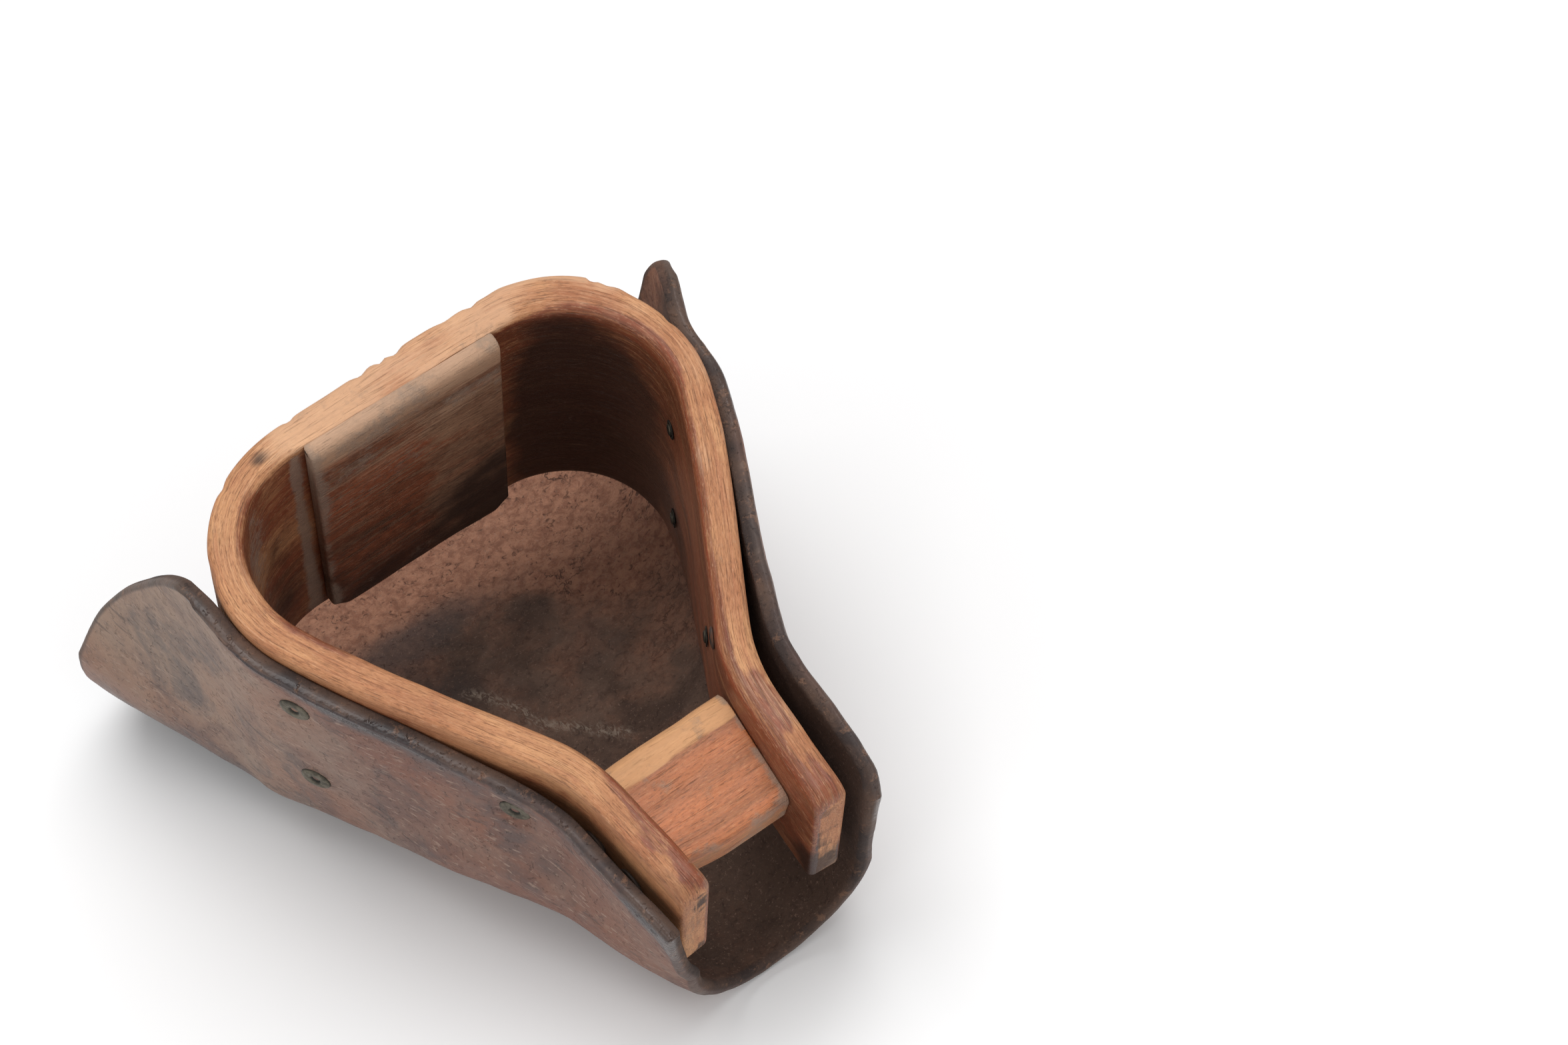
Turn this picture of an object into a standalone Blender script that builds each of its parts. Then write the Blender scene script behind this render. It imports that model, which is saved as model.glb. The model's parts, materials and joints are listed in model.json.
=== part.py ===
"""Hooded wooden riding stirrup: a steam-bent bow, a tread block, a transom and a riveted leather hood.

The pieces are modelled in the stirrup's own directions: X across the stirrup, Y up its height turned
round (from the ears at -Y to the outside of the tread at Y = 0), and Z through its depth, with the
rear edges of the bow at Z = 0. One parent empty then lays the whole stirrup on the front of its hood,
with the foot opening facing up, so that it rests on Z = 0 as it does on a table.
Lengths are in metres.
"""
import math

import bmesh
import bpy
from mathutils import Matrix, Vector

MM = 0.001
GAP = 0.3 * MM                       # space left between pieces that touch

# Bow: one bent strip. The outline follows its outer face from the middle of the tread to an ear.
STRIP_THICKNESS = 10.3 * MM
TREAD_HALF_LENGTH = 34.3 * MM        # straight part of the tread, each side of the middle
CORNER_RADIUS = 43.7 * MM
CORNER_TURN = math.radians(112.9)
SIDE_RADIUS = 275 * MM               # the sides are almost straight
SIDE_TURN = math.radians(6.9)
SIDE_LENGTH = 45.8 * MM
NECK_RADIUS = 49 * MM                # reverse bend from the sides to the ears
EAR_LEAN = math.radians(4.4)         # the ears close in slightly towards their ends
EAR_LENGTH = 35.8 * MM
STRIP_EDGE_RADIUS = 2.2 * MM

# The strip is deepest at the tread and narrows round the sides to the ears.
TREAD_DEPTH = 98 * MM
EAR_DEPTH = 50 * MM
TAPER_START = -45 * MM
TAPER_END = -150 * MM

BLOCK_HALF_LENGTH = 32.6 * MM
BLOCK_THICKNESS = 4.6 * MM
BLOCK_EDGE_RADIUS = 0.9 * MM
BLOCK_SETBACK = 0.5 * MM             # behind the edges of the strip, front and rear

TRANSOM_FAR = -135.5 * MM            # face towards the tread, where the strap bears
TRANSOM_NEAR = -173 * MM
TRANSOM_THICKNESS = 15.5 * MM
TRANSOM_DEPTH = -21.8 * MM           # middle of the board, below the rear edges
TRANSOM_TILT = math.radians(7.5)
TRANSOM_EDGE_RADIUS = 2.0 * MM

# Hood: one leather sheet bent round the front, open at the ears and at the tread.
LEATHER = 4.8 * MM
HOOD_NEAR = -190 * MM
HOOD_NEAR_DEPTH = -81 * MM           # inside of the fold at the ears
FOLD_SLOPE = math.tan(math.radians(18))
HOOD_REAR_EDGE = -5 * MM
FOLD_CLEARANCE = 2 * MM              # the bottom corners start this far past the strip's front edge
FOLD_POWER_NEAR = 2.0                # superellipse power of the bottom corners: round at the ears,
FOLD_POWER_FAR = 3.1                 # and squarer at the tread
EAR_STANDOFF = 3.6 * MM              # the leather stands clear of the ears and their rivet ends
STANDOFF_START = -122 * MM
STANDOFF_END = -147 * MM
WING_START = -48 * MM                # from here the flaps leave the bow as free wings
WING_SPREAD = 3 * MM                 # at the rear edge
TOE_SPREAD = 12 * MM                 # more, at the bottom corner of the toe
WING_REACH = 79 * MM                 # length over which the wings spread
WING_TOP = -32 * MM                  # where the wing's edge leaves the rear edge
TOE_REACH = 34 * MM                  # how far the fold runs past the tread
TOE_DEPTH = 155 * MM
TOE_FULLNESS = 0.72                  # below 1, the wing's outline bulges towards the toe
TOE_EDGE_ROUNDS = 12                 # the edge's height depends on its own depth, so it is iterated
WING_ROWS = 6                        # along the fold, from the wings' start to the toe
ROW_SPACING = 1 * MM                 # rows of the loft stay at least this far apart
HOOD_SIDE_STEPS = 4                  # down each side
HOOD_TURN_STEPS = 7                  # round each bottom corner

ROUND_STEPS = 14
HOOD_RIVETS = (                      # place, side, height up the side and depth
    ("tread_upper", "left", -66 * MM, -21 * MM),
    ("tread_lower", "left", -69 * MM, -64 * MM),
    ("neck", "left", -126 * MM, -24 * MM),
    ("tread_upper", "right", -56 * MM, -31 * MM),
    ("tread_lower", "right", -62 * MM, -77 * MM),
    ("neck", "right", -119 * MM, -32 * MM),
)
SIDES = {"left": -1, "right": 1}
RIVET_HEAD_RADIUS = 4.8 * MM
RIVET_HEAD_HEIGHT = 1.1 * MM
RIVET_HEAD_SINK = 0.8 * MM           # the head is set into the leather
RIVET_SHANK_RADIUS = 2.2 * MM
RIVET_DIMPLE_RADIUS = 1.6 * MM
RIVET_DIMPLE_FLOOR = 0.2 * MM        # above the underside of the head
RIVET_DIMPLE_RIM = 2.2 * MM          # radius at which the dimple meets the face of the head
RIVET_FACE_RADIUS = 4.3 * MM
RIVET_FACE_DROP = 0.1 * MM           # the face of the head falls away to its edge
RIVET_CLINCH_RADIUS = 3.1 * MM
RIVET_CLINCH_HEIGHT = 1.3 * MM
RIVET_CLINCH_SHOULDER = 0.75         # share of its radius and height at which the end rounds over
BURR_RADIUS = 4.4 * MM
BURR_THICKNESS = 0.9 * MM

TRANSOM_RIVET_PLACES = (-152 * MM, -167 * MM)
TRANSOM_RIVET_RADIUS = 2.4 * MM
TRANSOM_RIVET_PEEN_RADIUS = 3.4 * MM
TRANSOM_RIVET_PEEN_HEIGHT = 1.1 * MM
TRANSOM_RIVET_PEEN_UNDERCUT = 0.1 * MM
TRANSOM_BURR_RADIUS = 5.4 * MM

NAIL_PLACE = (-128.5 * MM, -11 * MM)
NAIL_HEAD_RADIUS = 3.4 * MM
NAIL_HEAD_HEIGHT = 0.8 * MM
NAIL_HEAD_CROWN = 0.8                # share of its radius and height at which the head rounds over
NAIL_SHANK_RADIUS = 1.4 * MM
NAIL_LENGTH = 7.5 * MM
NAIL_POINT_START = 5.2 * MM

HOLE_CUTTER_LENGTH = 60 * MM         # through leather and wood, with room at both ends
SEAT_CUTTER_LENGTH = 12 * MM
TRANSOM_CUTTER_LENGTH = 90 * MM
BEVEL_ANGLE = math.radians(40)
SCREW_MERGE = 0.01 * MM
MIRROR_MERGE = 0.1 * MM

COLOURS = {                          # base colour, roughness, metallic
    "bent_oak": ((0.34, 0.12, 0.055), 0.5, 0.0),
    "tread_oak": ((0.42, 0.25, 0.15), 0.65, 0.0),
    "transom_oak": ((0.45, 0.19, 0.09), 0.5, 0.0),
    "hood_leather": ((0.1, 0.06, 0.045), 0.55, 0.0),
    "rivet_brass": ((0.16, 0.15, 0.09), 0.5, 1.0),
    "iron": ((0.05, 0.045, 0.045), 0.7, 1.0),
}


def smoothstep(start, end, value):
    """0 at start, 1 at end and a smooth rise between them."""
    t = min(max((value - start) / (end - start), 0.0), 1.0)
    return t * t * (3 - 2 * t)


# ---------------------------------------------------------------- the bow's outline

def bow_outline():
    """Points and outward normals of the right half of the bow's outer face, from tread to ear."""
    point = Vector((0.0, 0.0))
    heading = 0.0
    stops = [(point.copy(), heading)]

    def line(length, steps):
        for _ in range(steps):
            point.x += length / steps * math.cos(heading)
            point.y -= length / steps * math.sin(heading)
            stops.append((point.copy(), heading))

    def arc(radius, turn, steps):
        nonlocal heading
        step = turn / steps
        chord = 2 * radius * math.sin(abs(step) / 2)
        for _ in range(steps):
            point.x += chord * math.cos(heading + step / 2)
            point.y -= chord * math.sin(heading + step / 2)
            heading += step
            stops.append((point.copy(), heading))

    line(TREAD_HALF_LENGTH, 2)
    arc(CORNER_RADIUS, CORNER_TURN, 12)
    arc(SIDE_RADIUS, SIDE_TURN, 2)
    line(SIDE_LENGTH, 3)
    arc(NECK_RADIUS, math.pi / 2 + EAR_LEAN - heading, 5)
    line(EAR_LENGTH, 3)
    return [(p, Vector((math.sin(h), math.cos(h)))) for p, h in stops]


OUTLINE = bow_outline()
EAR_END = OUTLINE[-1][0].y


def side_point(y):
    """The outer face's X and outward normal at height y, on the side between corner and ear."""
    for (a, normal_a), (b, normal_b) in zip(OUTLINE, OUTLINE[1:]):
        if b.y <= y <= a.y:
            t = (y - a.y) / (b.y - a.y)
            return a.x + t * (b.x - a.x), normal_a.lerp(normal_b, t).normalized()
    end, normal = OUTLINE[-1]
    return end.x + (y - end.y) * math.tan(EAR_LEAN), normal


def strip_depth(y):
    return TREAD_DEPTH + (EAR_DEPTH - TREAD_DEPTH) * smoothstep(TAPER_START, TAPER_END, y)


# ---------------------------------------------------------------- scene helpers

def clear_scene():
    for old in list(bpy.data.objects):
        bpy.data.objects.remove(old, do_unlink=True)


def new_collection(name):
    collection = bpy.data.collections.new(name)
    bpy.context.scene.collection.children.link(collection)
    return collection


def principled(name):
    colour, roughness, metallic = COLOURS[name]
    material = bpy.data.materials.new(name)
    material.use_nodes = True
    shader = material.node_tree.nodes["Principled BSDF"]
    shader.inputs["Base Color"].default_value = (*colour, 1)
    shader.inputs["Roughness"].default_value = roughness
    shader.inputs["Metallic"].default_value = metallic
    return material


clear_scene()
PARTS = new_collection("hooded_stirrup")
CUTTERS = new_collection("cutters")
LAY = bpy.data.objects.new("stirrup_pose", None)
PARTS.objects.link(LAY)


def add_piece(name, mesh, material_name, matrix=Matrix()):
    obj = bpy.data.objects.new(name, mesh)
    obj.data.materials.append(principled(material_name))
    obj.data.materials[0].name = name + "_" + material_name
    PARTS.objects.link(obj)
    obj.parent = LAY
    obj.matrix_local = matrix
    return obj


def mesh_from(bm, name):
    mesh = bpy.data.meshes.new(name)
    bm.to_mesh(mesh)
    bm.free()
    return mesh


def add_bevel(obj, width, segments=2):
    bevel = obj.modifiers.new("rounded_edges", "BEVEL")
    bevel.width = width
    bevel.segments = segments
    bevel.limit_method = "ANGLE"
    bevel.angle_limit = BEVEL_ANGLE


def add_cutter(name, radius, length, matrix):
    """A wire cylinder, centred on the matrix's place and running along its Z."""
    bm = bmesh.new()
    bmesh.ops.create_cone(bm, cap_ends=True, segments=ROUND_STEPS, radius1=radius, radius2=radius,
                          depth=length)
    cutter = bpy.data.objects.new(name, mesh_from(bm, name))
    CUTTERS.objects.link(cutter)
    cutter.parent = LAY
    cutter.matrix_local = matrix
    cutter.hide_render = True
    cutter.display_type = "WIRE"
    return cutter


def cut(obj, cutters):
    for cutter in cutters:
        boolean = obj.modifiers.new(cutter.name, "BOOLEAN")
        boolean.operation = "DIFFERENCE"
        boolean.object = cutter


def turned(name, profile, material_name, matrix):
    """A solid of revolution about Z from an open profile that starts and ends on the axis."""
    bm = bmesh.new()
    points = [bm.verts.new((radius, 0, height)) for radius, height in profile]
    for a, b in zip(points, points[1:]):
        bm.edges.new((a, b))
    obj = add_piece(name, mesh_from(bm, name), material_name, matrix)
    add_screw(obj)
    return obj


def washer(name, inner, outer, thickness, material_name, matrix):
    """A flat ring about Z, standing on Z = 0."""
    bm = bmesh.new()
    corners = [bm.verts.new(c) for c in
               ((inner, 0, thickness), (outer, 0, thickness), (outer, 0, 0), (inner, 0, 0))]
    for a, b in zip(corners, corners[1:] + corners[:1]):
        bm.edges.new((a, b))
    obj = add_piece(name, mesh_from(bm, name), material_name, matrix)
    add_screw(obj)
    return obj


def add_screw(obj):
    screw = obj.modifiers.new("turned", "SCREW")
    screw.axis = "Z"
    screw.steps = ROUND_STEPS
    screw.render_steps = ROUND_STEPS
    screw.use_merge_vertices = True
    screw.merge_threshold = SCREW_MERGE
    screw.use_smooth_shade = True


def wall_matrix(side, y, z, out):
    """A place on the bow's outer face moved outwards by out, with Z along the outward normal."""
    x, normal = side_point(y)
    place = Vector((side * (x + normal.x * out), y + normal.y * out, z))
    direction = Vector((side * normal.x, normal.y, 0))
    return Matrix.Translation(place) @ direction.to_track_quat("Z", "Y").to_matrix().to_4x4()


# ---------------------------------------------------------------- pieces

def make_bow():
    """The outer face as half a ribbon, mirrored, then thickened inwards."""
    bm = bmesh.new()
    ribbon = [(bm.verts.new((p.x, p.y, 0)), bm.verts.new((p.x, p.y, -strip_depth(p.y))))
              for p, _ in OUTLINE]
    for (rear_a, front_a), (rear_b, front_b) in zip(ribbon, ribbon[1:]):
        bm.faces.new((rear_a, rear_b, front_b, front_a))
    bow = add_piece("bow", mesh_from(bm, "bow"), "bent_oak")
    mirror = bow.modifiers.new("other_half", "MIRROR")
    mirror.use_clip = True
    mirror.merge_threshold = MIRROR_MERGE
    solidify = bow.modifiers.new("strip_thickness", "SOLIDIFY")
    solidify.thickness = STRIP_THICKNESS
    solidify.offset = -1
    solidify.use_even_offset = True
    add_bevel(bow, STRIP_EDGE_RADIUS)
    return bow


def make_tread_block():
    bm = bmesh.new()
    bmesh.ops.create_cube(bm, size=1)
    size = (2 * BLOCK_HALF_LENGTH, BLOCK_THICKNESS, TREAD_DEPTH - 2 * BLOCK_SETBACK)
    bmesh.ops.scale(bm, vec=size, verts=bm.verts)
    place = (0, -STRIP_THICKNESS - GAP - BLOCK_THICKNESS / 2, -TREAD_DEPTH / 2)
    block = add_piece("tread_block", mesh_from(bm, "tread_block"), "tread_oak",
                      Matrix.Translation(place))
    add_bevel(block, BLOCK_EDGE_RADIUS, 1)
    return block


def make_transom():
    """A board that fills the neck; its ends follow the lean of the ears."""
    middle = (TRANSOM_FAR + TRANSOM_NEAR) / 2
    inner_at_end = OUTLINE[-1][0].x - STRIP_THICKNESS / math.cos(EAR_LEAN) - GAP
    bm = bmesh.new()
    bmesh.ops.create_cube(bm, size=1)
    for vert in bm.verts:
        vert.co.y *= TRANSOM_FAR - TRANSOM_NEAR
        half_width = inner_at_end + (middle + vert.co.y - EAR_END) * math.tan(EAR_LEAN)
        vert.co.x = math.copysign(half_width, vert.co.x)
        vert.co.z *= TRANSOM_THICKNESS
    matrix = (Matrix.Translation((0, middle, TRANSOM_DEPTH))
              @ Matrix.Rotation(TRANSOM_TILT, 4, "X"))
    transom = add_piece("transom", mesh_from(bm, "transom"), "transom_oak", matrix)
    add_bevel(transom, TRANSOM_EDGE_RADIUS)
    return transom


def hood_plan(y):
    """The inside of the flap at the rear edge: half width at height y."""
    if y < WING_START:
        x, normal = side_point(y)
        standoff = GAP + (EAR_STANDOFF - GAP) * smoothstep(STANDOFF_START, STANDOFF_END, y)
        return x + standoff / normal.x
    widest = max(p.x for p, _ in OUTLINE)
    return widest + GAP + WING_SPREAD * smoothstep(WING_START, WING_START + WING_REACH, y)


def fold_depth(y):
    """The inside of the fold, straight from the ears to the toe."""
    return HOOD_NEAR_DEPTH - (y - HOOD_NEAR) * FOLD_SLOPE


def hood_point(around, y):
    """A point of the inside of the leather. around runs 0 at the flap's edge to 1 at the fold."""
    half_width = hood_plan(y)
    bottom = fold_depth(y)
    corner_height = -bottom - strip_depth(y) - FOLD_CLEARANCE
    corner_start = bottom + corner_height
    spread = TOE_SPREAD * smoothstep(WING_START, TOE_REACH, y)
    side_share = HOOD_SIDE_STEPS / (HOOD_SIDE_STEPS + HOOD_TURN_STEPS)
    if around < side_share:
        down = around / side_share
        z = HOOD_REAR_EDGE + down * (corner_start - HOOD_REAR_EDGE)
        return Vector((half_width + spread * down * down, y, z))
    angle = (around - side_share) / (1 - side_share) * math.pi / 2
    far_share = smoothstep(HOOD_NEAR, WING_START, y)
    roundness = 2 / (FOLD_POWER_NEAR + (FOLD_POWER_FAR - FOLD_POWER_NEAR) * far_share)
    x = (half_width + spread) * math.cos(angle) ** roundness if around < 1 else 0.0
    return Vector((x, y, corner_start - corner_height * math.sin(angle) ** roundness))


def toe_edge(around):
    """Height at which the hood ends, so that the wings curve away from the rear edge to the toe."""
    y = WING_TOP
    for _ in range(TOE_EDGE_ROUNDS):
        depth = -hood_point(around, y).z
        share = min(max((depth + HOOD_REAR_EDGE) / (TOE_DEPTH + HOOD_REAR_EDGE), 0.0), 1.0)
        y = WING_TOP + (TOE_REACH - WING_TOP) * math.sin(share * math.pi / 2) ** TOE_FULLNESS
    return y


def hood_heights(end):
    """Rows of the loft: those of the bow's outline, so that the flaps lie along it, then the wings."""
    beside_bow = [p.y for p, _ in reversed(OUTLINE) if p.y < WING_START - ROW_SPACING]
    wing = [WING_START + (end - WING_START) * row / WING_ROWS for row in range(WING_ROWS + 1)]
    return [HOOD_NEAR] + beside_bow + wing


def make_hood():
    """The inside of the leather as half a loft, mirrored, then thickened outwards."""
    columns = HOOD_SIDE_STEPS + HOOD_TURN_STEPS
    bm = bmesh.new()
    grid = []
    for column in range(columns + 1):
        around = column / columns
        heights = hood_heights(toe_edge(around))
        grid.append([bm.verts.new(hood_point(around, y)) for y in heights])
    for left, right in zip(grid, grid[1:]):
        for a, b, c, d in zip(left, right, right[1:], left[1:]):
            bm.faces.new((a, b, c, d))
    hood = add_piece("hood", mesh_from(bm, "hood"), "hood_leather")
    mirror = hood.modifiers.new("other_half", "MIRROR")
    mirror.use_clip = True
    mirror.merge_threshold = MIRROR_MERGE
    solidify = hood.modifiers.new("leather_thickness", "SOLIDIFY")
    solidify.thickness = LEATHER
    solidify.offset = 1
    solidify.use_even_offset = True
    return hood


def make_hood_rivet(side, label, y, z):
    """Head outside the leather, shank through leather and wood, clinched end over the burr."""
    outside = GAP + LEATHER - RIVET_HEAD_SINK
    inside = -STRIP_THICKNESS - 2 * GAP
    clinch = inside - BURR_THICKNESS - GAP
    profile = (
        (0, outside + RIVET_DIMPLE_FLOOR),
        (RIVET_DIMPLE_RADIUS, outside + RIVET_DIMPLE_FLOOR),
        (RIVET_DIMPLE_RIM, outside + RIVET_HEAD_HEIGHT),
        (RIVET_FACE_RADIUS, outside + RIVET_HEAD_HEIGHT - RIVET_FACE_DROP),
        (RIVET_HEAD_RADIUS, outside),
        (RIVET_SHANK_RADIUS, outside),
        (RIVET_SHANK_RADIUS, clinch),
        (RIVET_CLINCH_RADIUS, clinch),
        (RIVET_CLINCH_RADIUS * RIVET_CLINCH_SHOULDER,
         clinch - RIVET_CLINCH_HEIGHT * RIVET_CLINCH_SHOULDER),
        (0, clinch - RIVET_CLINCH_HEIGHT),
    )
    turned("hood_rivet_" + label, profile, "rivet_brass", wall_matrix(side, y, z, 0))
    washer("hood_burr_" + label, RIVET_SHANK_RADIUS + GAP, BURR_RADIUS, BURR_THICKNESS,
           "rivet_brass", wall_matrix(side, y, z, inside - BURR_THICKNESS))
    hole = add_cutter("hole_" + label, RIVET_SHANK_RADIUS + GAP, HOLE_CUTTER_LENGTH,
                      wall_matrix(side, y, z, 0))
    seat = add_cutter("seat_" + label, RIVET_HEAD_RADIUS + GAP, SEAT_CUTTER_LENGTH,
                      wall_matrix(side, y, z, outside - GAP + SEAT_CUTTER_LENGTH / 2))
    return hole, seat


def make_transom_rivet(number, y):
    """A long iron rivet through both ears and the transom, peened over a burr at each end."""
    widest_under_burr, _ = side_point(y + TRANSOM_BURR_RADIUS)
    burr_out = widest_under_burr + GAP
    half_length = burr_out + BURR_THICKNESS + GAP
    along_x = Matrix.Rotation(math.pi / 2, 4, "Y")
    centre = Matrix.Translation((0, y, TRANSOM_DEPTH)) @ along_x
    profile = (
        (0, half_length + TRANSOM_RIVET_PEEN_HEIGHT),
        (TRANSOM_RIVET_PEEN_RADIUS, half_length),
        (TRANSOM_RIVET_RADIUS, half_length - TRANSOM_RIVET_PEEN_UNDERCUT),
        (TRANSOM_RIVET_RADIUS, TRANSOM_RIVET_PEEN_UNDERCUT - half_length),
        (TRANSOM_RIVET_PEEN_RADIUS, -half_length),
        (0, -half_length - TRANSOM_RIVET_PEEN_HEIGHT),
    )
    turned(f"transom_rivet_{number}", profile, "iron", centre)
    for word, side in SIDES.items():
        low_end = burr_out if side > 0 else -burr_out - BURR_THICKNESS
        washer(f"transom_burr_{number}_{word}", TRANSOM_RIVET_RADIUS + GAP, TRANSOM_BURR_RADIUS,
               BURR_THICKNESS, "iron", centre @ Matrix.Translation((0, 0, low_end)))
    return add_cutter(f"hole_transom_{number}", TRANSOM_RIVET_RADIUS + GAP, TRANSOM_CUTTER_LENGTH,
                      centre)


def make_neck_nail(side, word):
    """An iron nail driven from inside, its head just proud of the wood."""
    y, z = NAIL_PLACE
    into_wood = wall_matrix(side, y, z, -STRIP_THICKNESS) @ Matrix.Rotation(math.pi, 4, "X")
    profile = (
        (0, GAP + NAIL_HEAD_HEIGHT),
        (NAIL_HEAD_RADIUS * NAIL_HEAD_CROWN, GAP + NAIL_HEAD_HEIGHT * NAIL_HEAD_CROWN),
        (NAIL_HEAD_RADIUS, GAP),
        (NAIL_SHANK_RADIUS, GAP),
        (NAIL_SHANK_RADIUS, -NAIL_POINT_START),
        (0, -NAIL_LENGTH),
    )
    turned("neck_nail_" + word, profile, "iron", into_wood)
    hole_length = 2 * (NAIL_LENGTH + GAP)
    return add_cutter("hole_nail_" + word, NAIL_SHANK_RADIUS + GAP, hole_length, into_wood)


def rest_on_floor():
    """Turn the stirrup onto the fold of its hood and centre it over the origin, on Z = 0."""
    LAY.rotation_euler = (math.atan(FOLD_SLOPE), 0, 0)
    bpy.context.view_layer.update()
    depsgraph = bpy.context.evaluated_depsgraph_get()
    corners = []
    for obj in PARTS.objects:
        if obj.type == "MESH":
            evaluated = obj.evaluated_get(depsgraph)
            corners += [evaluated.matrix_world @ v.co for v in evaluated.data.vertices]
    low = [min(c[axis] for c in corners) for axis in range(3)]
    high = [max(c[axis] for c in corners) for axis in range(3)]
    LAY.location = (-(low[0] + high[0]) / 2, -(low[1] + high[1]) / 2, -low[2])


bow = make_bow()
make_tread_block()
transom = make_transom()
hood = make_hood()
through_side = []
head_seats = []
for place, word, y, z in HOOD_RIVETS:
    hole, seat = make_hood_rivet(SIDES[word], f"{place}_{word}", y, z)
    through_side.append(hole)
    head_seats.append(seat)
nail_holes = [make_neck_nail(side, word) for word, side in SIDES.items()]
through_neck = [make_transom_rivet(n, y) for n, y in enumerate(TRANSOM_RIVET_PLACES, start=1)]
cut(bow, through_side + through_neck + nail_holes)
cut(transom, through_neck)
cut(hood, through_side + head_seats)
rest_on_floor()
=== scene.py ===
"""Looks of a hooded wooden riding stirrup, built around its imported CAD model.

Shapes are worked out in the stirrup's own directions, as in the CAD: X across the stirrup, Y up its
height turned round (ears at -Y, outside of the tread at Y = 0), Z through its depth with the rear
edges of the bow at Z = 0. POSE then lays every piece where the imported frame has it. Lengths in metres.
"""

import itertools
import json
import math

import bpy
import numpy as np
from mathutils import Matrix, Vector


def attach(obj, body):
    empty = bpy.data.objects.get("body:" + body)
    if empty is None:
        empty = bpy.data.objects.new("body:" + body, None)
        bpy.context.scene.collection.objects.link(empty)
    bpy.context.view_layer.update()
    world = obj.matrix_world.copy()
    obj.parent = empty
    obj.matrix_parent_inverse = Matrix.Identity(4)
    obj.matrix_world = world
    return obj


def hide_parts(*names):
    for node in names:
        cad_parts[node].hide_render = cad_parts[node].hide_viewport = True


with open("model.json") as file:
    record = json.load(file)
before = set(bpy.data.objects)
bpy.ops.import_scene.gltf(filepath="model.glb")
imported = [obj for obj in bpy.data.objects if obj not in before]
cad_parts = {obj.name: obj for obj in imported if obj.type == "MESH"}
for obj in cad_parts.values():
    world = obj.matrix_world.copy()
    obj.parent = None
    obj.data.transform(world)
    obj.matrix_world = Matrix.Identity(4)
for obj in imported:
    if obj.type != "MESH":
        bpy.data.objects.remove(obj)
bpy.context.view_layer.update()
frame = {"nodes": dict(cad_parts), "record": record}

MM = 0.001
GAP = 0.3 * MM

# Bow: the outline of its outer face, from the middle of the tread to the end of an ear
STRIP = 10.3 * MM
TREAD_HALF = 34.3 * MM
CORNER_RADIUS, CORNER_TURN = 43.7 * MM, math.radians(112.9)
SIDE_RADIUS, SIDE_TURN = 275 * MM, math.radians(6.9)
SIDE_LENGTH = 45.8 * MM
NECK_RADIUS = 49 * MM
EAR_LEAN = math.radians(4.4)
EAR_LENGTH = 35.8 * MM
NECK_TURN = math.pi / 2 + EAR_LEAN - CORNER_TURN - SIDE_TURN
TREAD_DEPTH, EAR_DEPTH = 98 * MM, 50 * MM
TAPER_START, TAPER_END = -45 * MM, -150 * MM

BLOCK_HALF, BLOCK = 32.6 * MM, 4.6 * MM
LEATHER = 4.8 * MM
EAR_CORNER = 5 * MM                   # radius of the ears' rear corners
LEFT_EAR_SHALLOWER = 4.5 * MM
BURR_MIDDLE = 0.45 * MM               # half the thickness of the CAD's burrs
NAIL_HEIGHT = -128.5 * MM

TREAD_MIDDLE = Vector((0, -STRIP - GAP - BLOCK, -TREAD_DEPTH / 2))    # where the foot_tread mount sits
MOUNTS = {m["name"]: m for m in frame["record"]["mounts"]}
TREAD_AXIS = MOUNTS["foot_tread"]["axis"]
LAY_BACK = Matrix.Rotation(math.atan2(-TREAD_AXIS[2], -TREAD_AXIS[1]), 4, "X")
POSE = Matrix.Translation(Vector(MOUNTS["foot_tread"]["pos_m"]) - LAY_BACK @ TREAD_MIDDLE) @ LAY_BACK
TO_STIRRUP = POSE.inverted()


# ---- numbers

def smooth(start, end, value):
    """0 at start, 1 at end and a smooth rise between them."""
    t = np.clip((value - start) / (end - start), 0.0, 1.0)
    return t * t * (3 - 2 * t)


def hump(value, centre, width):
    """1 at the centre, falling away on both sides of it."""
    return np.exp(-((value - centre) / width) ** 2)


def rise(start, end, value):
    """smooth with its two ends in mm."""
    return smooth(start * MM, end * MM, value)


def bump(value, centre, width):
    """hump with its centre and width in mm."""
    return hump(value, centre * MM, width * MM)


def lattice(points, seed):
    """Value noise, -1 to 1, at points counted in cells."""
    cell = np.floor(points).astype(np.int64)
    t = points - cell
    t = t * t * (3 - 2 * t)
    total = np.zeros(points.shape[:-1])
    for corner in itertools.product((0, 1), repeat=3):
        c = cell + np.array(corner)
        mixed = (c[..., 0] * 73856093) ^ (c[..., 1] * 19349663) ^ (c[..., 2] * 83492791)
        mixed = ((mixed ^ (seed * 40503)) * 1103515245 + 12345) & 0x7FFFFFFF
        mixed = ((mixed ^ (mixed >> 15)) * 1274126177) & 0x7FFFFFFF
        weight = np.prod(np.where(np.array(corner) == 1, t, 1 - t), axis=-1)
        total += weight * (mixed / 0x3FFFFFFF - 1)
    return total


def fractal(points, size, seed, octaves=3):
    """Noise whose largest features have this size, in mm. size may be one length or three."""
    total = np.zeros(points.shape[:-1])
    for octave in range(octaves):
        total += lattice(points / (np.array(size) * MM) * 2 ** octave, seed + 17 * octave) / 2 ** octave
    return total


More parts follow.
